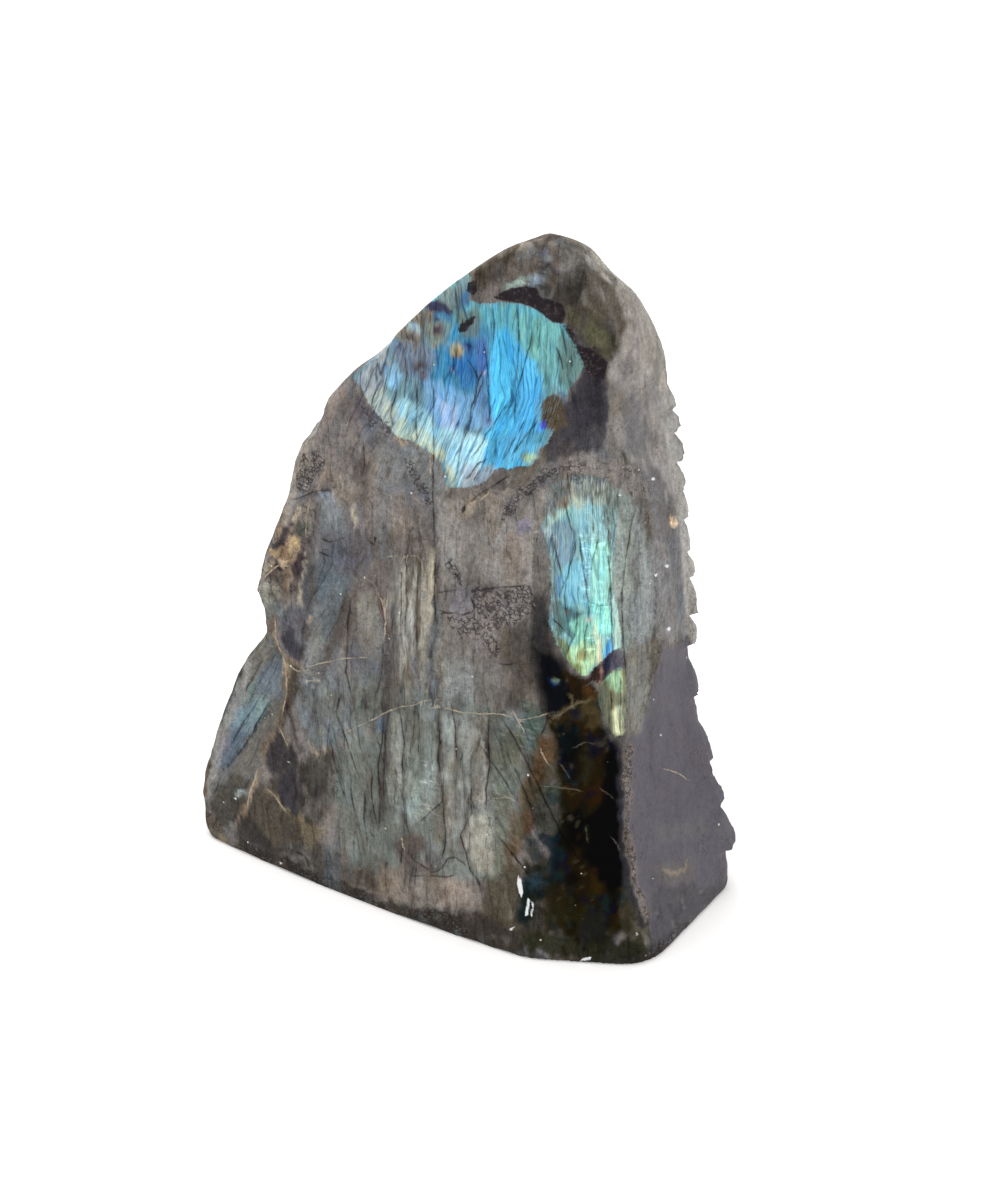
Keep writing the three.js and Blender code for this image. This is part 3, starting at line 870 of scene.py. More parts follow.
FACE_STROKES = [
    # the silvery columns first, then finer seams and edges
    ("#A3A197", 0.8, 3.4, [(404, 562), (403, 640), (405, 700)]),
    ("#A5A399", 0.8, 3.0, [(414, 560), (413, 620), (414, 664)]),
    ("#A9A79E", 0.85, 3.6, [(424, 558), (422, 620), (424, 690)]),
    ("#BDB29C", 0.9, 3.2, [(432, 556), (431, 590), (429, 616)]),
    ("#A79C8A", 0.7, 2.4, [(429, 610), (427, 640), (428, 668)]),
    ("#5B544B", 0.8, 2.6, [(397, 572), (396, 640), (399, 704)]),
    ("#625A50", 0.8, 2.4, [(409, 566), (408, 640), (411, 704)]),
    ("#625A50", 0.7, 2.2, [(419, 566), (418, 630), (419, 680)]),
    ("#4E4740", 0.8, 2.6, [(437, 556), (435, 620), (434, 680)]),
    ("#5A4A46", 0.85, 4.2, [(380, 592), (382, 606), (387, 626), (390, 650)]),
    ("#9A8078", 0.7, 1.8, [(383, 598), (387, 616), (390, 634)]),
    ("#565048", 0.60, 4.2, [(343, 592), (340, 614), (333, 636), (325, 660)]),
    ("#4E4D55", 0.6, 3.2, [(307, 562), (308, 604), (302, 640), (301, 664)]),
    ("#8E8076", 0.75, 3.4, [(331, 452), (326, 472), (318, 494)]),
    ("#4E4C50", 0.8, 2.2, [(291, 502), (304, 496), (316, 492), (340, 490)]),
    ("#8FA0AC", 0.8, 2.6, [(318, 497), (326, 496), (332, 498)]),
    ("#A9A48E", 0.8, 2.8, [(352, 502), (355, 514), (357, 528)]),
    ("#5A5249", 0.7, 9.0, [(384, 545), (400, 536), (416, 544), (430, 546)]),
    ("#55504A", 0.6, 3.0, [(363, 444), (364, 480), (366, 500)]),
    ("#A08C7C", 0.7, 2.4, [(462, 516), (470, 504), (480, 498), (490, 490)]),
    ("#8E9490", 0.6, 3.0, [(444, 654), (449, 690), (450, 712)]),
    ("#8E9490", 0.6, 3.0, [(456, 650), (461, 690)]),
    ("#7F8C88", 0.7, 2.4, [(316, 644), (322, 641)]),
]


def stroke(layer, colour, strength, width, path):
    """Paints along a path, thinning towards its ends."""
    path = np.array(path, float)
    index = near(ragged_sheet, path, width * 2)
    distance, signed, travel = to_path(ragged_sheet[index], path)
    taper = ease(np.minimum(travel, 1 - travel), *STROKE_TAPER)
    cover = (1 - ease(distance, width * 0.25, width)) * taper * strength * seen[index]
    lay(layer, index, cover, colour)


def paint_strokes(layer, strokes):
    """Lays a list of strokes, one over the other."""
    for colour, strength, width, path in strokes:
        stroke(layer, colour, strength, width, path)
    print(len(strokes), "strokes")


paint_strokes(tone, SEAMS)
paint_strokes(tone, FACE_STROKES)

# %% [markdown]
# ## The dark zones and the clear foot
# Right of the flash the stone turns nearly black, and at the low right the crystal is so clear that light
# goes in and hardly comes back. A see-through shader would need the inside modelled. Since almost no light
# returns, dark patches over a ground of deep olive look the same and stay true from every side.

# %% Paint the dark zones
DARK_ZONES = [
    ("clear dark foot", "#1F1B0E", 1.0, 9, [
        (536, 650), (552, 646), (566, 664), (584, 682), (602, 690), (606, 722), (620, 740), (623, 800),
        (626, 856), (632, 900), (628, 925), (606, 944), (566, 936), (545, 916), (546, 872), (552, 846),
        (556, 800), (552, 745), (542, 705)]),
    ("dark band beside the flash", "#333131", 0.9, 12, [
        (534, 588), (548, 600), (552, 650), (568, 664), (562, 704), (544, 714), (534, 690), (528, 650),
        (530, 610)]),
    ("dark zone right of the big flash", "#474446", 0.95, 5, [
        (562, 322), (574, 332), (590, 346), (608, 362), (608, 400), (606, 440), (592, 456), (566, 466),
        (545, 464), (548, 444), (556, 420), (570, 392), (584, 366)]),
    ("deepest dark", "#37343A", 0.9, 8, [(580, 368), (606, 364), (604, 420), (586, 428), (576, 404)]),
    ("dark left of it", "#3C3A3F", 0.9, 7, [
        (560, 398), (572, 388), (584, 380), (584, 440), (566, 442), (556, 432)]),
    ("moss notch", "#51483A", 0.95, 5, [
        (540, 398), (552, 388), (562, 404), (566, 420), (556, 432), (545, 428)]),
]
paint_all(tone, DARK_ZONES)

# %% Paint the clear dark foot
CLEAR_PATCHES = [
    ("black blot", "#121318", 1.0, 8, [
        (538, 656), (552, 652), (562, 664), (568, 674), (566, 690), (572, 704), (568, 716), (552, 714),
        (546, 700), (542, 680)]),
    ("brown-black slope", "#352A17", 0.95, 4, [
        (564, 666), (584, 680), (600, 692), (600, 702), (584, 706), (570, 692)]),
    ("red-brown strip", "#46301B", 0.85, 3, [(582, 682), (592, 686), (601, 700), (594, 702), (586, 692)]),
    ("olive-grey net", "#483E28", 0.85, 6, [
        (552, 716), (570, 706), (584, 702), (600, 706), (604, 722), (590, 728), (574, 720), (556, 724)]),
    ("brown depth", "#261B0B", 0.95, 9, [
        (580, 724), (600, 728), (608, 750), (606, 800), (584, 804), (578, 770)]),
    ("teal depth", "#0E2228", 0.95, 4, [(558, 724), (578, 726), (580, 748), (572, 764), (558, 758)]),
    ("navy depth", "#0C0D1C", 0.95, 4, [(560, 758), (578, 752), (580, 784), (566, 788)]),
    ("grey glimpse", "#34332C", 0.85, 4, [(582, 742), (592, 740), (594, 764), (590, 784), (583, 776)]),
    ("rust knots", "#2C1B0C", 0.8, 4, [
        (562, 786), (580, 782), (604, 786), (608, 800), (590, 806), (566, 804)]),
    ("slate fade", "#5A5A58", 0.85, 5, [(608, 732), (626, 734), (624, 752), (612, 754)]),
    ("navy beside the ridge", "#0B0E26", 0.95, 5, [(605, 744), (619, 744), (622, 800), (606, 800)]),
    ("black middle", "#131105", 0.95, 10, [
        (560, 806), (586, 804), (590, 840), (574, 866), (556, 856), (562, 830)]),
    ("olive depth", "#1E1704", 0.95, 12, [
        (566, 856), (590, 846), (602, 872), (610, 900), (606, 930), (580, 934), (562, 900)]),
    ("olive light", "#2D2306", 0.75, 9, [(590, 866), (602, 868), (604, 892), (594, 900)]),
    ("olive black right", "#161104", 0.9, 6, [(608, 892), (626, 890), (630, 922), (612, 930)]),
    ("brown column", "#573F2B", 0.95, 9, [
        (536, 732), (550, 736), (556, 752), (548, 790), (540, 812), (524, 846), (508, 866), (506, 850),
        (520, 810), (530, 770)]),
    ("tan of the column", "#67503A", 0.85, 7, [(538, 738), (546, 738), (552, 754), (546, 764), (538, 756)]),
    ("grey-green in it", "#4A473C", 0.85, 7, [(541, 762), (554, 760), (557, 782), (544, 784)]),
    ("olive crack of it", "#3A2E1C", 0.85, 3, [(537, 766), (543, 776), (542, 800), (536, 802)]),
    ("sienna", "#6F5A46", 0.85, 7, [(522, 778), (536, 776), (534, 798), (520, 804)]),
    ("pink-brown", "#6C5F50", 0.85, 9, [(510, 806), (520, 818), (524, 840), (514, 862), (506, 850)]),
    ("teal window", "#363E3A", 0.9, 7, [(541, 784), (556, 786), (558, 800), (543, 800)]),
    ("grey-blue window", "#40423C", 0.9, 9, [
        (532, 802), (548, 798), (562, 812), (558, 828), (544, 834), (532, 822)]),
    ("teal seam", "#0C2028", 0.9, 4, [
        (537, 834), (552, 830), (562, 834), (558, 850), (548, 858), (544, 846)]),
    ("grey-blue left", "#222B30", 0.85, 7, [(526, 836), (538, 842), (544, 856), (534, 862), (526, 850)]),
    ("warm grey under it", "#1F1B0E", 0.8, 7, [(538, 854), (560, 858), (558, 870), (536, 868)]),
    ("bottle green", "#1C221A", 0.9, 4, [(524, 862), (542, 862), (544, 872), (524, 874)]),
    ("teal-black inlet", "#182020", 1.0, 7, [
        (522, 876), (560, 870), (566, 884), (548, 896), (536, 906), (530, 928), (517, 924), (518, 896)]),
    ("blue sheen in it", "#26363E", 0.85, 7, [(522, 874), (540, 872), (546, 884), (530, 892)]),
    ("smoke block", "#241F12", 0.9, 10, [
        (542, 892), (560, 882), (576, 886), (576, 908), (566, 922), (544, 922)]),
    ("smoke light", "#2E2B20", 0.6, 5, [(560, 884), (574, 888), (572, 902), (562, 898)]),
    ("umber corner", "#2C200A", 0.85, 4, [(544, 918), (560, 916), (562, 932), (546, 932)]),
    ("gold moss", "#221D05", 0.85, 6, [(586, 922), (604, 916), (616, 926), (612, 942), (590, 946)]),
    ("green-grey rim", "#2A2A1E", 0.9, 5, [
        (520, 930), (560, 938), (600, 946), (640, 934), (646, 954), (600, 966), (530, 950)]),
    ("grey corner", "#565144", 0.9, 6, [(624, 888), (640, 906), (650, 934), (630, 944), (620, 924)]),
]
paint_all(tone, CLEAR_PATCHES)

# %% [markdown]
# Clouds of olive, navy and rust over the clear foot look like depths in dark glass. A few pale veins cross
# it, and its darkest column stands just left of the ridge.

# %% Paint depths and veins in the clear foot
CLEAR_FOOT = [
    (548, 700), (566, 664), (584, 682), (604, 700), (606, 722), (618, 744), (621, 800), (626, 856),
    (632, 900), (634, 936), (600, 950), (556, 940), (540, 910), (540, 872), (550, 846), (545, 800)]
BROWN_COLUMN = [(532, 728), (552, 730), (560, 790), (530, 860), (508, 872), (502, 850), (520, 800)]
CLEAR_CLOUDS = [
    ("olive depth", "#1C1805", 0.60, 6.0, 0.15, CLEAR_FOOT),
    ("night", "#07080E", 0.60, 4.5, 0.30, CLEAR_FOOT), ("rust", "#2E1F0E", 0.45, 2.6, 0.56, CLEAR_FOOT),
    ("navy", "#0C1026", 0.60, 4.2, 0.42, CLEAR_FOOT), ("teal", "#14292B", 0.50, 3.4, 0.55, CLEAR_FOOT),
    ("smoke", "#4A4538", 0.50, 1.5, 0.74, CLEAR_FOOT),
    ("dark of the brown column", "#2E2519", 0.35, 1.6, 0.25, BROWN_COLUMN),
    ("green of it", "#474A3C", 0.50, 2.2, 0.34, BROWN_COLUMN),
    ("low moss", "#26261A", 0.50, 3.0, 0.20, [
        (530, 900), (600, 906), (626, 916), (640, 940), (590, 960), (530, 944)]),
]
paint_clouds(tone, CLEAR_CLOUDS)
CLEAR_VEINS = [
    ("#6A6046", 0.65, 1.8, [(548, 718), (560, 716), (572, 708), (584, 700), (598, 704)]),
    ("#6E6448", 0.65, 1.6, [(566, 694), (572, 700), (573, 708)]),
    ("#5E523A", 0.65, 1.8, [(552, 716), (546, 728), (544, 738)]),
    ("#23301C", 0.70, 1.6, [(584, 820), (585, 832), (587, 842)]),
    ("#3E3422", 0.60, 1.8, [(560, 790), (572, 796), (584, 790)]),
    ("#1E3A70", 0.80, 2.6, [(551, 676), (556, 680), (558, 684)]),
    ("#7A9078", 0.80, 1.8, [(554, 675), (559, 683)]),
]
NIGHT_BLACK = "#05060C"
NIGHT_COLUMN = [
    (606, 752), (619, 750), (622, 800), (624, 852), (626, 884), (614, 892), (602, 880), (590, 850),
    (586, 820), (604, 804)]
wash(tone, NIGHT_BLACK, 1.0, 6, NIGHT_COLUMN)
paint_strokes(tone, CLEAR_VEINS)

# %% [markdown]
# ## The chipped left side
# The left edge was broken, not ground: chips run up it, lined with ochre iron stain, and below them one open
# cleavage plane has a blue sheen of its own.

# %% Paint the left side
LEFT_PATCHES = [
    ("pale left edge", "#948A80", 0.8, 4, [
        (300, 440), (312, 442), (298, 486), (288, 520), (270, 560), (262, 600), (250, 600), (266, 540),
        (286, 480)]),
    ("grey side", "#646462", 1.0, 4, [
        (272, 630), (284, 660), (286, 700), (270, 740), (250, 786), (236, 830), (205, 810), (212, 760),
        (246, 670)]),
    ("chipped ground", "#655D5A", 0.95, 4, [
        (298, 498), (318, 500), (312, 540), (304, 580), (300, 604), (282, 596), (262, 600), (270, 552),
        (288, 520)]),
    ("grey facet in the chips", "#7E766E", 0.9, 2.5, [
        (298, 500), (314, 502), (308, 524), (300, 538), (294, 526)]),
    ("pink-tan edge", "#9C8876", 0.9, 2, [
        (277, 523), (282, 519), (284, 526), (279, 533), (275, 537), (274, 530)]),
    ("ochre sliver", "#B3A38E", 0.95, 1.5, [
        (298, 506), (299, 512), (297, 520), (295, 526), (293, 520), (294, 511)]),
    ("dark facet in the chips", "#565650", 0.9, 2, [
        (297, 521), (306, 523), (306, 532), (300, 538), (291, 538), (293, 530)]),
    ("ochre chips", "#9F8A72", 1.0, 1.6, [
        (286, 541), (291, 538), (299, 540), (299, 549), (301, 551), (296, 558), (293, 566), (289, 564),
        (283, 567), (277, 562), (270, 557), (269, 552), (275, 549), (284, 551)]),
    ("gold of the chips", "#B8A07C", 0.95, 1.5, [(289, 540), (299, 541), (299, 549), (290, 550)]),
    ("gold at the left of them", "#AF9B7A", 0.9, 1.5, [(270, 551), (276, 549), (277, 556), (272, 559)]),
    ("cream chip", "#C0AD98", 0.95, 1.4, [(279, 560), (287, 561), (289, 565), (281, 567)]),
    ("hollow under them", "#3C3230", 0.95, 1.4, [
        (275, 563), (282, 568), (289, 567), (285, 571), (278, 572), (274, 568)]),
    ("brown under the chips", "#7F7161", 0.9, 2, [
        (282, 571), (291, 569), (293, 580), (288, 591), (280, 592), (283, 582)]),
    ("tan ledge", "#988B78", 0.9, 1.8, [(259, 582), (263, 571), (272, 562), (276, 567), (270, 574)]),
    ("dark gap", "#4A4042", 1.0, 1.8, [
        (301, 551), (305, 548), (304, 562), (303, 576), (300, 582), (294, 579), (291, 571), (296, 560)]),
    ("dark chip line", "#4A4648", 0.95, 2, [
        (284, 523), (289, 527), (285, 540), (283, 550), (278, 549), (272, 551), (272, 544), (278, 536)]),
    ("green-grey facet", "#8C8A80", 0.95, 3, [
        (257, 588), (270, 580), (282, 590), (280, 606), (268, 612), (260, 604)]),
    ("pale scar", "#ACA99C", 0.85, 2, [(259, 587), (270, 583), (278, 590), (268, 593), (260, 597)]),
    ("blue-grey facet", "#727878", 0.85, 4, [(268, 608), (280, 600), (286, 612), (276, 624), (266, 620)]),
    ("tan root", "#736860", 0.85, 2.5, [(268, 620), (278, 616), (279, 634), (270, 632)]),
    ("brown upper edge", "#8A807A", 0.85, 4, [(318, 412), (334, 392), (352, 376), (344, 400), (326, 436)]),
    ("olive sheen", "#74716A", 0.85, 4, [
        (246, 668), (262, 646), (276, 644), (266, 664), (252, 690), (240, 696)]),
    ("blue-grey sheen above", "#6A7279", 0.85, 4, [
        (258, 680), (272, 654), (283, 660), (282, 696), (268, 700), (256, 698)]),
    ("teal sheen above", "#6C7A76", 0.85, 3, [(238, 702), (248, 684), (258, 678), (257, 692), (244, 704)]),
    ("blue sheen", "#70848C", 0.9, 7, [
        (236, 708), (250, 702), (268, 700), (266, 712), (252, 728), (240, 742), (228, 760), (222, 766),
        (231, 736), (230, 720)]),
    ("navy end of the sheen", "#565F6B", 0.85, 6, [
        (236, 730), (246, 727), (234, 758), (222, 770), (222, 752)]),
    ("green of the sheen", "#76857F", 0.7, 5, [(254, 699), (269, 700), (264, 713), (252, 716)]),
    ("lavender edge", "#6E6C74", 0.8, 4, [(220, 736), (230, 736), (226, 756), (216, 776), (212, 764)]),
    ("green-grey strip", "#696660", 0.9, 3, [
        (270, 704), (282, 704), (266, 746), (248, 772), (232, 776), (248, 744), (262, 722)]),
    ("dark line of the side", "#33383A", 0.85, 2.5, [
        (268, 702), (271, 706), (256, 732), (240, 754), (230, 766), (228, 762), (246, 738), (260, 718)]),
    ("dark low corner", "#494640", 0.9, 4, [
        (218, 790), (232, 778), (248, 776), (246, 806), (238, 828), (220, 824), (210, 806)]),
    ("glint of the corner", "#A8B4B4", 0.8, 1.8, [(235, 798), (242, 791), (246, 793), (240, 800)]),
    ("lit left rim", "#96938E", 0.6, 3, [
        (256, 640), (240, 676), (224, 716), (212, 760), (206, 800), (214, 790), (226, 740), (246, 690)]),
    ("grey block under the notch", "#5C5C62", 0.9, 3, [
        (278, 620), (292, 606), (312, 612), (308, 640), (300, 668), (286, 654)]),
    ("dark hollow in it", "#403E45", 0.9, 3, [(281, 634), (292, 630), (306, 650), (300, 666), (290, 658)]),
    ("brown by the vein", "#4A423B", 0.9, 3, [
        (284, 662), (300, 668), (300, 690), (290, 716), (284, 728), (278, 724), (284, 700)]),
    ("night block", "#3A373A", 0.95, 3, [
        (266, 744), (280, 732), (290, 744), (300, 752), (298, 768), (276, 772), (262, 762)]),
    ("night-blue block", "#3E3B40", 0.9, 3, [
        (280, 774), (298, 770), (302, 790), (300, 820), (290, 812), (278, 794)]),
    ("brown triangle", "#524B42", 0.9, 3, [
        (260, 788), (270, 786), (286, 808), (302, 824), (300, 850), (270, 846), (250, 826), (252, 806)]),
    ("olive-tan triangle", "#776B5A", 0.9, 2.5, [
        (301, 826), (314, 824), (328, 838), (316, 844), (306, 852), (304, 838)]),
    ("low black", "#3A3736", 0.85, 4, [
        (232, 816), (250, 818), (266, 838), (280, 856), (256, 850), (234, 838)]),
]
paint_all(tone, LEFT_PATCHES)

# %% [markdown]
# Iron-stained veins and lit chip edges run over those patches, a few units wide at most.

# %% Paint the veins of the left side
VEINS = [
    ("#87755F", 0.90, 2.4, [(275, 616), (275, 630), (278, 646), (282, 658), (290, 664), (300, 670)]),
    ("#75685A", 0.90, 4.8, [
        (283, 656), (288, 670), (287, 692), (283, 712), (276, 732), (266, 750), (260, 764)]),
    ("#94816A", 0.80, 1.8, [(283, 660), (287, 672), (286, 690)]),
    ("#A39A88", 0.90, 1.9, [(304, 552), (303, 570), (304, 577), (302, 588), (301, 598)]),
    ("#ACA491", 0.90, 2.8, [(301, 594), (301, 600), (302, 608)]),
    ("#A08F80", 0.85, 1.7, [(289, 570), (292, 578), (289, 590), (284, 593)]),
    ("#8C857D", 0.75, 1.5, [(278, 571), (277, 579), (278, 588)]),
    ("#9A877A", 0.85, 1.8, [(295, 524), (292, 532), (288, 541), (287, 550)]),
    ("#A99C90", 0.85, 1.9, [(310, 524), (309, 529), (308, 533)]),
    ("#9A8C84", 0.80, 1.7, [(305, 532), (304, 538)]),
    ("#A3A7A4", 0.70, 1.6, [(305, 681), (312, 680), (321, 680)]),
    ("#9CA19F", 0.60, 1.4, [(303, 687), (310, 688), (317, 687)]),
    ("#93806C", 0.90, 3.4, [(258, 770), (253, 784), (250, 800), (242, 814)]),
    ("#B8A284", 0.90, 1.8, [(281, 660), (285, 670), (284, 680)]),
    ("#B09A7E", 0.85, 1.8, [(256, 776), (252, 790), (250, 800)]),
    ("#6E6152", 0.85, 2.4, [(280, 724), (285, 736), (290, 746)]),
    ("#A8967C", 0.90, 2.0, [(311, 618), (308, 624), (305, 629)]),
    ("#7E7058", 0.85, 2.2, [(266, 786), (276, 796), (286, 810), (300, 822), (314, 826), (328, 837)]),
    ("#A4907A", 0.90, 2.4, [(310, 750), (318, 751), (328, 748)]),
    ("#86786A", 0.80, 2.4, [(246, 814), (236, 820), (232, 830)]),
    ("#393436", 0.75, 3.0, [(288, 700), (291, 716), (298, 740), (304, 752)]),
    ("#4A4540", 0.70, 3.0, [(300, 612), (306, 640), (300, 664)]),
]
paint_strokes(tone, VEINS)

# %% [markdown]
# ## The crest and the honed side
# The crest is weathered and warm, with bays of brown and slate. Below it the honed side turns away from the
# camera: a pale rim, hazes beside the flash that are partly painted sheen, and an even slate with rubs and
# drag marks further down.

# %% Paint the crest, the honed side and the rim
TOP_AND_SIDE_PATCHES = [
    ("brown top", "#635B54", 0.8, 5, [
        (500, 262), (548, 246), (560, 262), (540, 272), (508, 280), (490, 276)]),
    ("slate top", "#686666", 0.8, 4, [(494, 264), (508, 262), (504, 278), (490, 276)]),
    ("blue glint", "#7887A2", 0.85, 3, [(536, 252), (544, 250), (548, 256), (540, 262)]),
    ("pale glint", "#8A9298", 0.7, 3, [(544, 260), (552, 256), (552, 264), (540, 268)]),
    ("dark line above the band", "#36353A", 0.8, 4, [(536, 264), (556, 264), (560, 272), (536, 272)]),
    ("teal sliver", "#8FA39A", 0.9, 3, [(502, 286), (516, 276), (530, 275), (524, 284), (506, 289)]),
    ("blue sliver", "#8595A4", 0.9, 3, [(528, 275), (542, 273), (540, 284), (530, 286)]),
    ("brown bay", "#564F48", 0.7, 5, [(548, 284), (566, 290), (570, 308), (552, 302)]),
    ("brown stripe of the crest", "#4E4740", 0.8, 5, [
        (574, 268), (590, 282), (606, 306), (612, 322), (600, 316), (586, 296)]),
    ("moss blotch", "#585842", 0.85, 5, [(582, 330), (594, 322), (608, 332), (606, 346), (590, 344)]),
    ("moss edge", "#443F33", 0.8, 4, [(588, 350), (612, 348), (614, 360), (596, 358)]),
    ("sandy shelf", "#7F776D", 0.9, 5, [
        (609, 384), (616, 376), (624, 400), (624, 450), (609, 456), (609, 400)]),
    ("slate tongue", "#757476", 0.8, 5, [
        (624, 392), (636, 392), (644, 420), (646, 458), (628, 456), (622, 420)]),
    ("lit side", "#9B9794", 0.8, 8, [
        (648, 400), (664, 400), (676, 440), (688, 480), (690, 520), (670, 520), (652, 460)]),
    ("dark hollow of the side", "#6A6869", 0.9, 6, [
        (642, 462), (660, 470), (672, 500), (674, 540), (656, 536), (644, 500)]),
    ("dark run of the side", "#696A6C", 0.8, 6, [(664, 536), (680, 540), (684, 600), (676, 640), (666, 600)]),
    ("pale rim", "#ABA9A4", 0.9, 4, [
        (664, 372), (676, 392), (680, 440), (690, 486), (694, 540), (698, 600), (698, 650), (688, 636),
        (684, 590), (680, 540), (676, 490), (668, 440), (664, 410)]),
    ("peach star", "#DCC4A8", 1.0, 2.2, [(667, 519), (675, 519), (676, 528), (671, 527)]),
    ("brown bank", "#8A827C", 0.9, 6, [
        (560, 458), (600, 452), (640, 470), (646, 496), (632, 500), (604, 484), (570, 488), (556, 474)]),
    ("speckled neck", "#706C6A", 0.95, 5, [
        (500, 526), (502, 508), (516, 494), (534, 478), (556, 462), (572, 462), (566, 480), (540, 494),
        (520, 506), (512, 528)]),
    # the hazes: partly the stone's own grey and partly a painted sheen, the polish reflecting a bright
    # surround
    ("grey haze right of the flash", "#909791", 0.95, 6, [
        (610, 490), (632, 500), (638, 540), (634, 600), (636, 660), (626, 672), (614, 650), (612, 560)]),
    ("blue-grey haze", "#8B9090", 0.9, 6, [
        (630, 520), (652, 540), (656, 600), (652, 640), (636, 640), (632, 580)]),
    ("green-grey haze", "#807D75", 0.9, 6, [
        (622, 650), (650, 640), (652, 690), (644, 730), (628, 738), (624, 700)]),
    ("wedge brown", "#33211D", 0.95, 2.5, [
        (581, 681), (590, 672), (600, 663), (603, 667), (602, 681), (592, 683)]),
    ("wedge navy", "#2A2D42", 0.95, 3, [
        (601, 664), (606, 658), (612, 652), (616, 655), (614, 666), (608, 674), (603, 680)]),
    ("wedge purple", "#625E6B", 0.9, 4, [
        (611, 652), (618, 650), (624, 656), (624, 663), (617, 667), (611, 671)]),
    # partly painted sheen as well
    ("haze to the rim", "#7C7B7B", 0.7, 7, [
        (650, 540), (668, 548), (676, 600), (680, 632), (660, 650), (652, 620)]),
    ("shade of the ridge", "#333236", 0.85, 4, [
        (618, 748), (626, 748), (627, 840), (634, 890), (648, 926), (640, 928), (626, 894), (619, 850)]),
    ("ridge line", "#7A716C", 0.9, 3, [
        (623, 744), (634, 746), (633, 840), (638, 884), (650, 918), (644, 922), (632, 890), (625, 850)]),
    ("smudge on the slate", "#6C6862", 0.6, 7, [(650, 866), (690, 858), (694, 880), (660, 888)]),
    ("tan rub", "#8E8474", 0.85, 2.6, [(663, 872), (674, 868), (688, 864), (686, 870), (672, 876)]),
    ("slate low", "#555356", 0.8, 8, [(650, 890), (726, 880), (730, 920), (650, 950)]),
    ("pale drag marks", "#6C6A6B", 0.5, 6, [(655, 826), (706, 816), (706, 836), (660, 842)]),
]
paint_all(tone, TOP_AND_SIDE_PATCHES)

# %% Paint strokes and clouds over them
SIDE_STROKES = [
    ("#8C8378", 0.70, 8.0, [
        (462, 274), (484, 260), (510, 246), (536, 236), (557, 230), (580, 240), (604, 254)]),
    ("#6C716D", 0.70, 1.8, [(614, 500), (613, 560), (614, 640)]),
    ("#A3ABA4", 0.60, 1.6, [(617, 520), (617, 560), (618, 600)]),
    ("#6A6F6A", 0.60, 1.6, [(622, 586), (622, 620), (623, 660)]),
    ("#A6ADA4", 0.60, 1.8, [(637, 510), (631, 536), (626, 572), (625, 590)]),
    ("#70756F", 0.55, 2.4, [(640, 520), (638, 600), (640, 650)]),
    ("#9CA39C", 0.45, 2.4, [(645, 530), (646, 570), (645, 600)]),
]
paint_strokes(tone, SIDE_STROKES)
CREST = outline_of(BROAD_ZONES, "crest")
CREST_TURN = outline_of(BROAD_ZONES, "crest turn")
UNDER_CREST = outline_of(BROAD_ZONES, "green-brown under the crest")
UPPER_SIDE = outline_of(BROAD_ZONES, "upper side")
SLATE_SIDE = outline_of(BROAD_ZONES, "slate side")
SLATE_LOW = outline_of(TOP_AND_SIDE_PATCHES, "slate low")
SIDE_CLOUDS = [
    ("dark of the crest", "#3F3932", 0.65, 3.4, 0.24, CREST),
    ("pale of the crest", "#827A70", 0.50, 2.8, 0.36, CREST),
    ("olive of the crest", "#56533F", 0.50, 3.4, 0.34, UNDER_CREST),
    ("dark under it", "#2E2A25", 0.60, 2.8, 0.30, UNDER_CREST),
    ("dark of the turn", "#837E78", 0.55, 3.0, 0.26, CREST_TURN),
    ("pale of the turn", "#BEB9B2", 0.45, 2.4, 0.34, CREST_TURN),
    ("pale of the side", "#9E9A96", 0.50, 3.6, 0.30, UPPER_SIDE),
    ("dark of the side", "#6E6A6B", 0.50, 3.0, 0.34, UPPER_SIDE),
    ("dark of the slate", "#58555B", 0.30, 7.0, 0.34, SLATE_SIDE),
    ("scuffs", "#7A7774", 0.50, 1.3, 0.62, SLATE_LOW),
    ("dark scuffs", "#45424A", 0.45, 1.7, 0.50, SLATE_LOW),
]
paint_clouds(tone, SIDE_CLOUDS)
stroke(tone, "#B98878", 0.8, 1.3, [(600, 664), (601, 672), (600, 680)])

# %% [markdown]
# ## The flash
# The blue fire of labradorite comes from layers a few hundred nanometres thick. It fills only those blocks
# whose layers lie the right way, so each flash has a hard edge and its colour drifts from block to block:
# violet where the layers are thinnest, then blue, then teal, then yellow-green. The colours go in a layer
# of their own, painted past the outline, and the outline is kept as a distance, which gives a hard edge at
# any size.

# %% Outline the flashes
BIG_FLASH = [
    (352, 376), (360, 386), (368, 402), (378, 414), (388, 427), (398, 438), (412, 441), (422, 448),
    (433, 454), (440, 463), (444, 474), (445, 488), (470, 487), (486, 482), (494, 470), (500, 467),
    (508, 470), (518, 466), (530, 467), (538, 457), (540, 449), (548, 443), (553, 432), (559, 420),
    (562, 410), (564, 404), (568, 392), (576, 380), (584, 366), (580, 352), (572, 338), (565, 324),
    (550, 321), (541, 311), (522, 304), (500, 302), (480, 304), (468, 300), (474, 286), (466, 270),
    (440, 286), (432, 298), (424, 308), (410, 320), (400, 330), (384, 348)]
RIGHT_FLASH = [
    (550, 486), (576, 474), (606, 478), (618, 498), (616, 530), (613, 560), (613, 590), (618, 612),
    (621, 634), (622, 648), (612, 650), (602, 661), (584, 678), (574, 668), (564, 656), (556, 644),
    (549, 622), (551, 600), (551, 566), (548, 546), (542, 529), (545, 512)]
FLASH_TAIL = [
    (604, 680), (611, 672), (618, 667), (624, 669), (626, 690), (624, 735), (615, 737), (606, 722),
    (598, 704), (598, 688)]
print("outlines of", len(BIG_FLASH), len(RIGHT_FLASH), "and", len(FLASH_TAIL), "points")

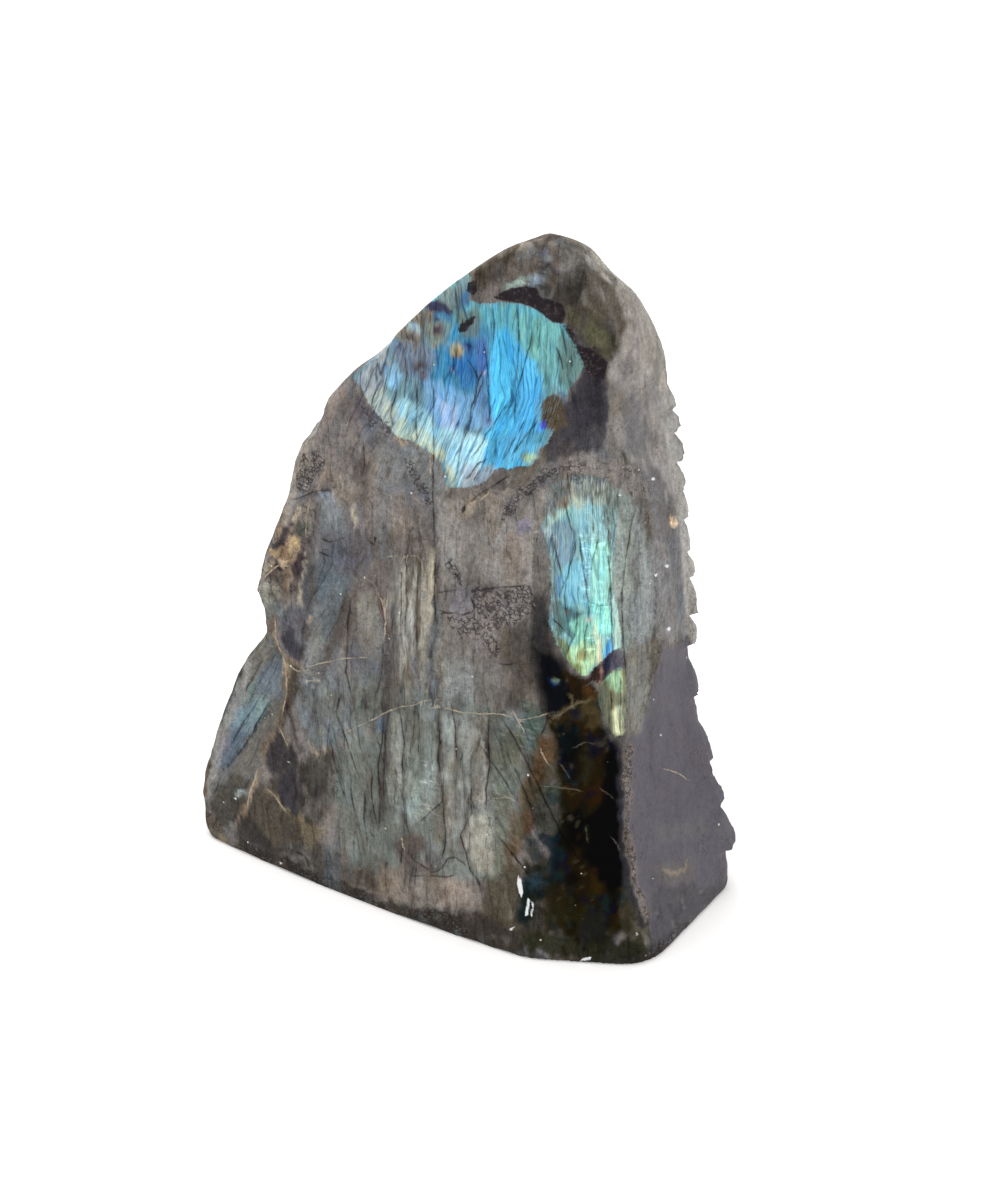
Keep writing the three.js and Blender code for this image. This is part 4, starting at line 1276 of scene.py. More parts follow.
# %% Paint the flash colours
FLASH_COLOURS = [
    ("upper rim teal", "#6FA9B0", 1.0, 6, [
        (430, 290), (470, 268), (480, 300), (560, 300), (590, 340), (590, 380), (540, 420), (440, 330)]),
    ("sky", "#5CBBE8", 1.0, 8, [
        (494, 320), (520, 330), (545, 380), (545, 440), (520, 475), (480, 480), (484, 400), (488, 340)]),
    ("top teal", "#60AABB", 0.9, 6, [(480, 304), (540, 308), (550, 330), (540, 350), (500, 330), (484, 324)]),
    ("cyan", "#4EB5E2", 0.9, 6, [
        (496, 330), (508, 330), (514, 362), (508, 400), (500, 440), (490, 430), (490, 380)]),
    ("green-teal", "#70AEAC", 0.9, 5, [
        (516, 310), (545, 318), (562, 326), (572, 350), (556, 366), (528, 360), (514, 340)]),
    ("green-teal low", "#6DA6A8", 0.8, 5, [(540, 340), (574, 346), (572, 378), (548, 384), (536, 366)]),
    ("grey-teal", "#64827F", 0.9, 5, [
        (562, 330), (578, 348), (586, 366), (572, 392), (558, 384), (556, 352)]),
    ("deep sky", "#55B2E4", 0.9, 7, [(516, 372), (542, 374), (546, 404), (532, 440), (506, 440), (510, 410)]),
    ("bright cyan", "#5ECBFA", 0.85, 6, [(492, 392), (510, 390), (514, 424), (500, 446), (490, 430)]),
    ("blue left", "#4480A2", 1.0, 7, [
        (440, 330), (480, 318), (492, 330), (488, 380), (476, 404), (440, 404), (424, 372)]),
    ("bright blue column", "#4593BC", 0.9, 4, [(444, 330), (458, 322), (456, 360), (448, 396), (438, 384)]),
    ("deep blue", "#3A76AE", 0.9, 5, [(456, 356), (484, 352), (486, 372), (472, 384), (452, 378)]),
    ("violet", "#5070B0", 0.75, 4, [(474, 338), (488, 336), (488, 366), (478, 372)]),
    ("steel blue", "#78A9D0", 0.9, 8, [
        (424, 376), (452, 388), (484, 396), (486, 424), (452, 430), (424, 414)]),
    ("blue-grey", "#6288B0", 0.8, 4, [(476, 372), (488, 372), (490, 420), (482, 430), (474, 402)]),
    ("lavender", "#A0B8DA", 0.8, 5, [(438, 398), (454, 404), (458, 430), (440, 424)]),
    ("pale aqua", "#9CCBD8", 0.95, 8, [
        (404, 396), (440, 424), (478, 436), (490, 470), (456, 484), (440, 452), (404, 438), (394, 410)]),
    ("ice", "#AEDEEC", 0.85, 5, [(446, 430), (470, 430), (486, 446), (476, 476), (456, 480), (448, 456)]),
    ("pale green grey", "#A8B6B0", 0.9, 6, [
        (358, 382), (380, 388), (398, 412), (412, 440), (392, 438), (366, 406)]),
    ("mint base of it", "#AEC4B6", 0.8, 5, [(396, 420), (436, 436), (446, 456), (424, 448), (398, 438)]),
    ("far left violet-grey", "#A2AEB6", 0.85, 5, [
        (356, 376), (384, 350), (394, 364), (384, 388), (366, 396)]),
    ("hazy violet grey", "#76869C", 0.85, 5, [(392, 344), (420, 340), (434, 356), (426, 384), (404, 372)]),
    ("blue crest of it", "#88BCDC", 0.85, 4, [(382, 366), (394, 358), (402, 374), (398, 392), (386, 388)]),
    ("tan-grey top left", "#857868", 0.9, 4, [(396, 336), (420, 306), (438, 312), (430, 330), (410, 342)]),
    ("blue fleck at the rim", "#98B4BC", 0.8, 3, [(410, 322), (422, 324), (420, 332), (408, 332)]),
    ("purple patch", "#38304A", 0.95, 3, [
        (427, 301), (440, 299), (451, 304), (451, 313), (440, 315), (428, 311)]),
    ("blue under it", "#4478A0", 0.85, 3, [(432, 314), (452, 312), (450, 322), (434, 322)]),
    ("teal silhouette", "#7A8A88", 0.9, 3, [(436, 298), (468, 274), (474, 290), (456, 312)]),
    ("blue top right of it", "#40688C", 0.8, 3, [(458, 296), (470, 290), (468, 304), (458, 306)]),
    ("moss in the blue", "#6C7A74", 0.85, 3, [
        (458, 310), (478, 306), (480, 320), (476, 334), (462, 336), (458, 320)]),
    ("grey-green", "#7C8E84", 0.8, 3, [(424, 322), (452, 322), (446, 344), (428, 344)]),
    ("lower right blue", "#5EACD4", 0.85, 5, [(500, 440), (530, 428), (548, 436), (530, 462), (504, 468)]),
    ("steel bottom", "#A8B4BE", 0.85, 5, [(464, 466), (500, 470), (492, 488), (460, 490)]),
    ("lime lobe", "#A9C79C", 0.9, 3, [(520, 460), (532, 454), (537, 460), (524, 466)]),
    ("violet-blue spot", "#3048D8", 0.95, 3, [(539, 419), (548, 418), (550, 426), (542, 430)]),
    ("teal lobe", "#4F8C9E", 0.85, 3, [(534, 432), (550, 430), (548, 444), (534, 444)]),
    ("blue corner", "#4A6A88", 0.9, 3, [(558, 392), (567, 390), (566, 410), (559, 410)]),
    ("right base", "#8FC4C4", 1.0, 10, [(540, 486), (620, 484), (622, 660), (583, 684), (545, 640)]),
    ("right top grey-green", "#AFBDB2", 0.9, 6, [(560, 484), (616, 484), (616, 506), (576, 508)]),
    ("right top teal", "#9ECACC", 0.9, 5, [(574, 506), (608, 504), (608, 540), (580, 540)]),
    ("right lavender", "#7E98A6", 0.9, 9, [(546, 524), (566, 514), (578, 530), (578, 562), (556, 566)]),
    ("left tip", "#BCD4D4", 0.8, 3, [(543, 528), (552, 524), (556, 536), (548, 540)]),
    ("right blue", "#84C4D8", 0.95, 7, [(566, 566), (584, 566), (586, 604), (568, 604), (562, 590)]),
    ("blue at the left edge", "#6090B4", 0.8, 4, [(552, 576), (560, 576), (560, 602), (552, 600)]),
    ("right mid cyan", "#A4E0F0", 0.85, 4, [(582, 544), (592, 542), (590, 600), (584, 600)]),
    ("right mint", "#ACEEE0", 0.95, 4, [(591, 544), (612, 540), (613, 604), (590, 606)]),
    ("right cyan", "#A4F6E4", 0.9, 4, [(590, 606), (612, 604), (612, 634), (596, 634)]),
    ("net at the left", "#4E6E70", 0.9, 4, [
        (550, 604), (562, 606), (580, 612), (580, 624), (570, 634), (556, 630)]),
    ("right teal low", "#98E0CA", 0.9, 4, [(568, 622), (588, 612), (590, 646), (572, 646)]),
    ("lime low", "#C8F4C4", 0.95, 4, [(572, 642), (600, 640), (604, 656), (584, 676), (566, 656)]),
    ("olive low edge", "#78844C", 0.85, 3, [(552, 630), (566, 642), (586, 668), (582, 680), (562, 656)]),
    ("milk streak", "#D4EAC8", 0.7, 3, [
        (588, 614), (593, 618), (600, 640), (601, 672), (597, 676), (596, 650)]),
    ("cream by the wedge", "#EBDCBC", 0.8, 2, [(596, 640), (601, 642), (602, 668), (598, 674)]),
    ("ochre spots in it", "#A89A58", 0.7, 2, [(578, 650), (590, 648), (588, 662), (580, 664)]),
    ("blue by the wedge", "#58A8E0", 0.9, 2.5, [(602, 658), (606, 646), (611, 642), (613, 650), (604, 662)]),
    ("pale stripes right of it", "#B2D2C6", 0.9, 4, [(613, 596), (624, 596), (624, 652), (614, 652)]),
    ("tail", "#8C8E70", 1.0, 4, [(596, 672), (630, 664), (630, 742), (608, 742)]),
    ("tail top", "#A8D0A6", 0.9, 3, [(604, 676), (622, 668), (624, 690), (612, 690), (603, 684)]),
    ("left of the tail", "#62674F", 0.9, 3, [(594, 684), (610, 680), (612, 735), (602, 730)]),
    ("tail light", "#D4DAB4", 0.9, 3, [(613, 710), (623, 706), (622, 734), (615, 734)]),
]
paint_all(glow, FLASH_COLOURS)

# %% [markdown]
# A flash doesn't end in a hard edge everywhere. Where it dies away, a veil of less than one lets the body
# show through it.

# %% Let the flash fade in places
VEILS = [
    # name, how far the flash shows, cover, edge, outline
    ("top of the right flash", 0.40, 1.0, 12, [
        (536, 466), (624, 466), (622, 500), (590, 500), (566, 498), (545, 508)]),
    ("rim of the left tip", 0.50, 1.0, 6, [(536, 512), (552, 500), (556, 512), (546, 530), (540, 536)]),
    ("lavender left of it", 0.55, 1.0, 8, [(540, 534), (556, 530), (560, 572), (552, 584), (544, 570)]),
    ("left rim of it", 0.35, 1.0, 8, [
        (540, 540), (552, 540), (555, 600), (553, 636), (568, 664), (560, 674), (542, 640)]),
    ("net left of it", 0.50, 1.0, 6, [(544, 600), (558, 602), (560, 622), (552, 632), (544, 626)]),
    ("right rim of it", 0.50, 1.0, 5, [(607, 540), (618, 540), (618, 612), (608, 612)]),
    ("stripes right of it", 0.8, 1.0, 4, [(613, 596), (626, 596), (626, 656), (614, 656)]),
    ("soft left edge", 0.5, 1.0, 3, [
        (546, 544), (554, 544), (556, 600), (553, 622), (561, 645), (572, 662), (566, 666), (546, 625)]),
    ("above its left tip", 0.15, 1.0, 6, [(540, 484), (572, 484), (572, 500), (556, 508), (542, 520)]),
    ("around the notch", 0.6, 1.0, 6, [
        (536, 394), (554, 384), (568, 392), (568, 424), (552, 434), (536, 422)]),
    ("the notch", 0.05, 1.0, 4, [(544, 400), (554, 393), (564, 401), (564, 420), (553, 428), (544, 418)]),
    ("upper right edge of it", 0.35, 1.0, 6, [(604, 490), (622, 490), (620, 546), (609, 548), (604, 520)]),
    ("left of the tail", 0.60, 1.0, 5, [(594, 686), (610, 686), (611, 735), (602, 730)]),
    ("upper left of the big flash", 0.70, 1.0, 8, [
        (350, 380), (400, 326), (432, 330), (424, 370), (392, 380), (366, 390)]),
    ("bottom of the big flash", 0.75, 1.0, 5, [(456, 474), (496, 470), (490, 490), (456, 490)]),
]
paint_all(veil, VEILS)

# %% [markdown]
# Small rings in the flash are grains with a halo: a ring of one colour with a core of another. A few thin
# lines follow its rim, tan outside and yellow-green inside.

# %% Paint rings and rims
RING_STRENGTH = 0.9
CORE_STRENGTH = 0.95
RINGED_SPOTS = [
    # centre, core size, core colour, ring size, ring colour
    ((459, 352), 3.0, "#8A7A60", 8.0, "#B5A878"),
    ((461, 356), 1.6, "#57402E", 3.0, "#8A7A60"),
    ((469, 345), 3.0, "#1E2440", 6.0, "#34508C"),
    ((436, 333), 4.0, "#43384A", 8.0, "#77786E"),
    ((414, 338), 4.5, "#4B403C", 9.0, "#7A7872"),
    ((421, 367), 5.0, "#4A3A34", 10.0, "#66707E"),
    ((425, 378), 3.0, "#6A5A54", 6.0, "#76839A"),
    ((436, 322), 2.5, "#2C3650", 5.0, "#5C7484"),
    ((486, 423), 3.0, "#5C5470", 7.0, "#6F94BC"),
    ((434, 346), 1.5, "#E6D8C8", 3.0, "#A89C84"),
    ((453, 370), 1.8, "#C0B8D0", 3.4, "#6C78B0"),
    ((482, 373), 1.5, "#CFC8D4", 3.0, "#7C86BC"),
    ((447, 346), 1.6, "#D8C8A0", 3.4, "#7A9AA8"),
    ((557, 424), 2.0, "#7E6446", 4.0, "#6C6A50"),
    ((578, 586), 1.4, "#B08A6C", 2.6, "#A8C8C8"),
    ((589, 618), 2.0, "#F4D6C0", 4.0, "#B8E0D0"),
    ((566, 612), 2.0, "#7A5C4C", 4.0, "#5E7A7C"),
]


def spot(layer, colour, strength, size, centre):
    """Paints a round soft spot."""
    centre = np.array([centre], float)
    index = near(ragged_sheet, centre, size * 2)
    distance = np.hypot(*(ragged_sheet[index] - centre).T)
    lay(layer, index, (1 - ease(distance, size * 0.5, size * 1.3)) * strength * seen[index], colour)


for centre, core_size, core_colour, ring_size, ring_colour in RINGED_SPOTS:
    spot(glow, ring_colour, RING_STRENGTH, ring_size, centre)
    spot(glow, core_colour, CORE_STRENGTH, core_size, centre)
RIM_STROKES = [
    # colour, strength, width, path: tan rims that run just outside the flash
    ("#A3917B", 0.85, 3.6, [
        (394, 436), (410, 443), (426, 449), (438, 455), (445, 463), (447, 476), (446, 488)]),
    ("#8F7B63", 0.80, 3.0, [(404, 332), (410, 316), (420, 306), (430, 301)]),
    ("#9C8670", 0.70, 3.0, [(543, 522), (554, 511), (564, 501), (578, 492)]),
]
GLOW_STROKES = [
    # pale yellow-green lines just inside it
    ("#C9D0B0", 0.75, 4.0, [(400, 436), (426, 446), (440, 452), (449, 462), (452, 476), (453, 488)]),
    ("#C8D8C0", 0.60, 4.0, [(546, 528), (556, 514), (566, 504), (584, 496)]),
]
paint_strokes(tone, RIM_STROKES)
paint_strokes(glow, GLOW_STROKES)
print("flash painted,", len(RINGED_SPOTS), "ringed spots")

# %% [markdown]
# ## Hard edges
# Three kinds of mark have a sharp outline: the flash, the near-black chips of other minerals, and a few
# tiny painted highlights, white glints of light on the polish, which share their layer with small white
# grains. Each is kept as the distance to its
# outline, in sheet units and positive inside. The shader turns that into a hard edge with a fine ragged
# line of its own.

# %% Keep the distances to the hard outlines
DARK_MARKS = [
    [(492, 298), (502, 292), (512, 288), (526, 286), (537, 288), (540, 297), (552, 300), (562, 304),
     (566, 314), (562, 324), (552, 322), (542, 314), (532, 307), (520, 303), (506, 301)],
    [(457, 332), (460, 324), (470, 318), (475, 316), (476, 322), (468, 327), (466, 332), (458, 333)],
    [(468, 282), (476, 280), (478, 290), (474, 296), (466, 290)],
    [(561, 322), (572, 330), (578, 346), (590, 348), (608, 362), (604, 380), (588, 374), (583, 362),
     (574, 344)],
    [(368, 538), (376, 536), (378, 542), (370, 544)],
    [(462, 506), (466, 504), (466, 510), (462, 514)],
]
# painted highlights: tiny white glints of light on the polish, laid in as colour
PAINTED_GLINTS = [
    [(518, 875), (521, 880), (523, 890), (522, 899), (519, 893), (517, 883)],
    [(528, 898), (530, 900), (528, 915), (525, 917), (526, 907)],
    [(532, 901), (534, 903), (532, 918), (530, 919)],
    [(583, 958), (592, 957), (590, 960), (580, 961)],
    [(508, 929), (516, 926), (512, 931)],
    [(279, 861), (282, 863), (281, 866)],
]
WHITE_GRAINS = [
    # size, centre
    (1.1, (639, 470)), (1.7, (653, 479)), (1.5, (620, 495)), (1.2, (645, 522)), (2.0, (667, 566)),
    (1.7, (656, 575)), (1.0, (638, 567)), (1.0, (650, 584)), (2.0, (669, 629)), (1.1, (662, 619)),
    (1.0, (654, 700)), (1.2, (661, 735)), (1.1, (576, 905)), (1.1, (582, 918)), (1.6, (637, 934)),
    (1.1, (653, 878)), (1.3, (528, 775)), (1.2, (281, 755)), (1.3, (289, 762)), (1.6, (235, 799)),
    (1.2, (257, 798)), (1.2, (478, 652)), (1.3, (387, 654)), (1.0, (418, 545)),
]
OUTSIDE = -60.0


def outline_distance(outlines, margin=40):
    """The signed distance to the nearest of several outlines, positive inside."""
    distance = np.full(vertex_count, OUTSIDE)
    for outline in outlines:
        outline = np.array(outline, float)
        index = near(sheet, outline, margin)
        distance[index] = np.maximum(distance[index], within(sheet[index], outline))
    return np.where(seen > 0.5, distance, OUTSIDE)


flash_edge = outline_distance([BIG_FLASH, RIGHT_FLASH, FLASH_TAIL])
dark_edge = outline_distance(DARK_MARKS)
# the painted highlights and the white grains share one layer
glint_and_grain_edge = outline_distance(PAINTED_GLINTS, 12)
for size, centre in WHITE_GRAINS:
    glint_and_grain_edge = np.maximum(glint_and_grain_edge, np.where(seen > 0.5, size - np.hypot(*(sheet - centre).T), OUTSIDE))
print("vertices in the flash:", int((flash_edge > 0).sum()), "and in dark marks:", int((dark_edge > 0).sum()))

# %% [markdown]
# ## Cracks
# Fine cracks follow the grain of the crystal. A line thinner than the net cannot be painted on it, but a
# distance can: each crack keeps the distance to its middle, negative on one side and positive on the other,
# and the shader draws the line where that passes zero. Two cracks that run close together need separate
# layers, so each crack goes in the first layer where it has room.

# %% Draw the cracks
FLASH_CRACKS = [
    [(493, 308), (494, 326), (492, 352)],
    [(518, 308), (519, 334), (517, 374)],
    [(532, 330), (530, 346), (526, 358), (522, 374), (516, 392), (515, 408), (514, 426)],
    [(537, 322), (537, 336), (540, 348)],
    [(556, 346), (561, 358), (562, 370)],
    [(483, 340), (488, 368), (489, 390), (489, 412), (490, 426)],
    [(489, 358), (478, 380), (476, 396), (470, 408), (471, 420), (464, 434), (461, 446), (457, 472),
     (452, 486)],
    [(484, 378), (480, 390), (472, 412), (470, 426), (462, 444), (459, 458), (456, 476)],
    [(468, 360), (476, 372), (477, 380)],
    [(508, 402), (498, 418), (488, 432), (480, 446), (470, 460)],
    [(525, 420), (518, 434), (510, 448), (504, 460)],
    [(538, 420), (524, 438), (514, 452), (510, 460)],
    [(454, 354), (452, 372), (448, 388), (446, 404)],
    [(416, 384), (417, 400), (416, 420), (417, 442)],
    [(433, 384), (434, 400), (433, 426), (434, 450)],
    [(398, 378), (396, 396), (391, 412), (392, 428)],
    [(385, 360), (381, 380), (373, 396), (371, 408)],
    [(388, 374), (383, 392), (378, 414)],
    [(406, 354), (407, 372), (405, 388), (404, 400)],
    [(488, 458), (478, 464), (472, 472), (466, 480)],
    [(562, 494), (565, 506), (570, 522), (575, 540), (576, 549), (571, 562), (567, 578), (562, 588),
     (558, 598)],
    [(579, 536), (582, 556), (583, 572), (586, 584), (588, 600), (589, 622)],
    [(592, 494), (593, 512), (593, 534)],
    [(598, 540), (594, 556), (591, 572)],
    [(589, 602), (598, 606), (609, 605)],
    [(566, 580), (564, 596), (566, 612)],
    [(578, 620), (574, 634), (568, 650), (566, 656)],
    [(554, 542), (560, 568), (564, 588)],
    [(552, 618), (562, 628), (574, 640)],
    [(608, 550), (611, 600), (613, 660)],
    [(586, 660), (584, 640), (587, 622)],
]
FIELD_CRACKS = [
    [(363, 440), (364, 458), (364, 476)],
    [(434, 444), (433, 490), (434, 540), (436, 556)],
    [(446, 560), (450, 561), (452, 565), (449, 569), (445, 567), (445, 562)],
    [(453, 572), (458, 576), (458, 583), (463, 587)],
    [(439, 610), (449, 614), (460, 611)],
    [(402, 566), (401, 600), (401, 640)],
    [(418, 562), (417, 600), (417, 650)],
    [(291, 500), (315, 492), (330, 490)],
    [(398, 704), (404, 740), (402, 780)],
    [(416, 700), (420, 730), (418, 756)],
    [(450, 700), (456, 730), (456, 760)],
    [(330, 740), (336, 770), (346, 800)],
    [(350, 770), (352, 800), (360, 826)],
    [(366, 790), (364, 820), (368, 846)],
    [(512, 764), (524, 790), (534, 812)],
    [(258, 700), (244, 722), (232, 744)],
    [(268, 704), (252, 734), (236, 758)],
    [(262, 660), (252, 680), (244, 694)],
    [(438, 714), (440, 740), (438, 760), (442, 780), (443, 801), (430, 812), (414, 826)],
    [(443, 801), (444, 820), (446, 840), (442, 860)],
    [(489, 714), (488, 740), (490, 764), (486, 790), (486, 812)],
    [(471, 769), (471, 790), (472, 812), (466, 824), (460, 835), (465, 850), (469, 868), (474, 876),
     (480, 884), (482, 900)],
    [(408, 852), (414, 861), (426, 868), (432, 873), (441, 870), (448, 858), (456, 857), (466, 866)],
    [(412, 876), (430, 876), (446, 877), (456, 875)],
    [(384, 716), (382, 744), (378, 768), (380, 800), (379, 826), (381, 838)],
    [(390, 708), (386, 730), (384, 760), (384, 800)],
    [(400, 790), (406, 806), (406, 824), (410, 838)],
    [(372, 770), (372, 800), (378, 830)],
    [(352, 596), (348, 620), (348, 650), (346, 670), (352, 700)],
    [(436, 560), (434, 592), (436, 620)],
    [(342, 690), (336, 712), (346, 740), (360, 780)],
    [(500, 716), (516, 740), (540, 790), (560, 832), (590, 874)],
    [(478, 742), (504, 780), (520, 806)],
    [(498, 836), (516, 858), (530, 876)],
    [(322, 538), (328, 542), (336, 541), (344, 538)],
    [(368, 540), (374, 544), (380, 542)],
    [(320, 552), (330, 556)],
    [(438, 592), (450, 591), (464, 589)],
    [(468, 592), (484, 590), (500, 587), (528, 586)],
    [(470, 594), (474, 606), (474, 612), (462, 615), (450, 612), (440, 614)],
    [(498, 663), (506, 665), (514, 663)],
    [(464, 506), (480, 494), (500, 482), (512, 474)],
    [(568, 468), (568, 490)],
    [(636, 506), (630, 532), (624, 572), (622, 600), (623, 640), (626, 680)],
    [(611, 690), (612, 712), (612, 732)],
    [(620, 676), (621, 700), (620, 732)],
    [(404, 836), (402, 850), (400, 866)],
    [(296, 852), (306, 856), (310, 872)],
    [(548, 700), (550, 712), (544, 730), (540, 736)],
]
PALE_CRACKS = [
    [(275, 617), (276, 636), (281, 652), (285, 664), (292, 668), (302, 673)],
    [(286, 668), (287, 690), (282, 716)],
    [(258, 768), (251, 788), (247, 806)],
    [(280, 728), (288, 746)],
    [(262, 580), (270, 572), (278, 565), (290, 566)],
    [(310, 500), (306, 520), (306, 536)],
    [(404, 562), (405, 600), (403, 650)],
    [(423, 560), (421, 600), (422, 650)],
    [(430, 454), (431, 476)],
    [(470, 504), (480, 500), (490, 492)],
    [(426, 800), (432, 812), (442, 818)],
    [(304, 668), (312, 666), (326, 662), (348, 658), (370, 657)],
    [(306, 681), (320, 680)],
    [(340, 736), (354, 728), (370, 720), (388, 712), (400, 707), (412, 706), (428, 700), (440, 699)],
    [(420, 710), (440, 707), (464, 713), (500, 714), (520, 720), (540, 716), (556, 712)],
    [(388, 594), (386, 610), (384, 640)],
    [(379, 594), (384, 608), (389, 640)],
    [(430, 556), (429, 580), (427, 614)],
    [(386, 557), (404, 555), (430, 557)],
    [(494, 798), (508, 798), (516, 802)],
    [(662, 768), (676, 772), (690, 780)],
    [(512, 710), (520, 724), (526, 734)],
    [(402, 838), (404, 850)],
    [(266, 786), (276, 798), (286, 812)],
]
DIM_CRACKS = [
    [(560, 764), (566, 772), (570, 778)],
    [(543, 786), (560, 788), (584, 791)],
    [(600, 788), (606, 793), (614, 799)],
    [(550, 717), (560, 715), (574, 705), (588, 700)],
    [(586, 828), (588, 842)],
    [(540, 748), (546, 762), (553, 770)],
    [(574, 748), (584, 742), (594, 744)],
    [(610, 836), (618, 844), (620, 852)],
]
print(len(FLASH_CRACKS + FIELD_CRACKS), "dark cracks and", len(PALE_CRACKS + DIM_CRACKS), "pale ones")

# %% Lay the cracks in layers
CRACK_ROOM = 9.0
CRACK_LAYERS = 3
CRACK_WANDER = 0.9
CRACK_TAPER = (-0.03, 0.12)
INK_RANGE = (3.0, 5.5)
CLEAR_DIMMING = 0.8


def gap_between(path_a, path_b):
    """The shortest distance from the points of one path to the other path, taken both ways."""
    return min(to_path(path_a, path_b)[0].min(), to_path(path_b, path_a)[0].min())


def crack_layers(cracks, count):
    """For each layer, a signed distance to its cracks and how dark they are there."""
    sides = np.full((vertex_count, count), OUTSIDE)
    inks = np.zeros((vertex_count, count))
    placed = [[] for layer in range(count)]
    for crack in cracks:
        path = np.array(crack, float)
        roomy = [n for n in range(count) if all(gap_between(path, other) > CRACK_ROOM for other in placed[n])]
        layer = roomy[0] if roomy else count - 1
        placed[layer].append(path)
        index = near(sheet, path, CRACK_ROOM)
        shifted = sheet[index] + CRACK_WANDER * quick_shift[index]
        distance, signed, travel = to_path(shifted, path)
        taper = ease(np.minimum(travel, 1 - travel), *CRACK_TAPER)
        ink = (1 - ease(distance, *INK_RANGE)) * taper * seen[index]
        closer = distance < np.abs(sides[index, layer])
        sides[index[closer], layer] = signed[closer]
        inks[index, layer] = np.maximum(inks[index, layer], ink)
    return sides, inks


crack_sides, crack_inks = crack_layers(FLASH_CRACKS + FIELD_CRACKS, CRACK_LAYERS)
pale_sides, pale_inks = crack_layers(PALE_CRACKS + DIM_CRACKS, 1)
clear_share = np.zeros(vertex_count)
wash(clear_share, 1.0, 1.0, 6, CLEAR_FOOT)
pale_inks[:, 0] *= 1 - CLEAR_DIMMING * clear_share
print("vertices near a crack:", int((np.abs(crack_sides).min(axis=1) < CRACK_ROOM).sum()))

# %% [markdown]
# ## Grain
# Inside the flash and the silvery field the crystal is full of fine streaks. They run down the face,
# leaning more in some blocks than in others. A shader noise that is stretched one way gives such streaks,
# and to make it follow the blocks it reads this attribute in place of plain coordinates: how far across the
# grain a vertex lies, how far along it, and how deep.

# %% Work out the flow of the grain
UPRIGHT_LEAN = 0.123
SHEET_UNITS_PER_MM = 4.34
LEANING_BLOCKS = [
    # name, lean in sheet units across for each one down, middle height, outline
    ("flash below its middle", -0.36, 398, [(340, 398), (560, 398), (560, 492), (340, 492)]),
    ("flash far left", -0.22, 398, [(340, 398), (340, 340), (412, 340), (412, 398)]),
    ("left slab", -0.34, 566, [(306, 560), (356, 560), (336, 670), (300, 672)]),
    ("lower left field", 0.16, 724, [(330, 730), (392, 710), (392, 860), (350, 870)]),
    ("green-brown wedge", 0.36, 722, [(480, 716), (548, 720), (560, 880), (500, 870)]),
    ("left side", -0.55, 720, [(280, 640), (286, 700), (250, 790), (206, 800), (240, 680)]),
]
BLOCK_EDGE = 1.5
across = sheet[:, 0].copy()
for name, lean_share, middle, outline in LEANING_BLOCKS:
    outline = np.array(outline, float)
    index = near(ragged_sheet, outline, BLOCK_EDGE)
    cover = ease(within(ragged_sheet[index], outline), -BLOCK_EDGE, BLOCK_EDGE)
    across[index] -= cover * lean_share * (sheet[index, 1] - middle)
plain_across = (spots[:, 0] + UPRIGHT_LEAN * spots[:, 2]) * SHEET_UNITS_PER_MM
across = plain_across + (across - plain_across) * seen
grain = np.stack([across / SHEET_UNITS_PER_MM, spots[:, 2], spots[:, 1]], axis=1)
print("grain runs", grain.min(axis=0).round(), "to", grain.max(axis=0).round(), "mm")

# %% [markdown]
# ## Finish
# Three numbers a vertex say how the surface is worked: how matt it is, how silky its streaks are, and where
# it is pitted. Polish only takes on sound crystal, so the pitted fields stay open and dull.

# %% Paint how matt and how silky it is
SPECKLED_PATCH = outline_of(MIDDLE_PATCHES, "speckled dark patch")
RIDGE_LINE = outline_of(TOP_AND_SIDE_PATCHES, "ridge line")
FOOT_BAND = outline_of(BROAD_ZONES, "foot band")
MATT_ZONES = [
    # name, value, cover, edge, outline, as in the three tables that follow
    ("polished face", 0.12, 1.0, 5, FACE),
    ("left side", 0.30, 1.0, 5, outline_of(LEFT_PATCHES, "grey side")),
    ("slate side", 0.62, 1.0, 5, SLATE_SIDE),
    ("upper side", 0.64, 1.0, 6, UPPER_SIDE),
    ("side beside the flash", 0.45, 1.0, 6, outline_of(BROAD_ZONES, "side beside the flash")),
    ("crest", 0.45, 1.0, 8, CREST),
    ("crest turn", 0.66, 1.0, 6, CREST_TURN),
    ("chips", 0.85, 1.0, 3, outline_of(LEFT_PATCHES, "chipped ground")),
    ("speckled patch", 0.8, 1.0, 3, SPECKLED_PATCH),
    ("speckled neck", 0.75, 1.0, 5, outline_of(TOP_AND_SIDE_PATCHES, "speckled neck")),
    ("ridge line", 0.7, 1.0, 4, RIDGE_LINE),
    ("foot band", 0.4, 0.8, 5, FOOT_BAND),
]
SILK_ZONES = [
    ("polished face", 0.6, 1.0, 8, FACE),
    ("big flash", 1.0, 1.0, 6, BIG_FLASH),
    ("right flash", 0.8, 1.0, 6, RIGHT_FLASH),
    ("haze beside it", 0.7, 1.0, 6, outline_of(TOP_AND_SIDE_PATCHES, "grey haze right of the flash")),
    ("green-grey haze", 0.75, 1.0, 6, outline_of(TOP_AND_SIDE_PATCHES, "green-grey haze")),
    ("silver columns", 1.0, 1.0, 6, outline_of(MIDDLE_PATCHES, "silver columns")),
    ("streaked field", 0.8, 1.0, 8, FIELD),
    ("clear foot", 0.25, 1.0, 8, CLEAR_FOOT),
    ("slate side", 0.12, 1.0, 6, SLATE_SIDE),
    ("upper side", 0.25, 1.0, 6, UPPER_SIDE),
]
paint_all(matt, MATT_ZONES)
paint_all(silk, SILK_ZONES)

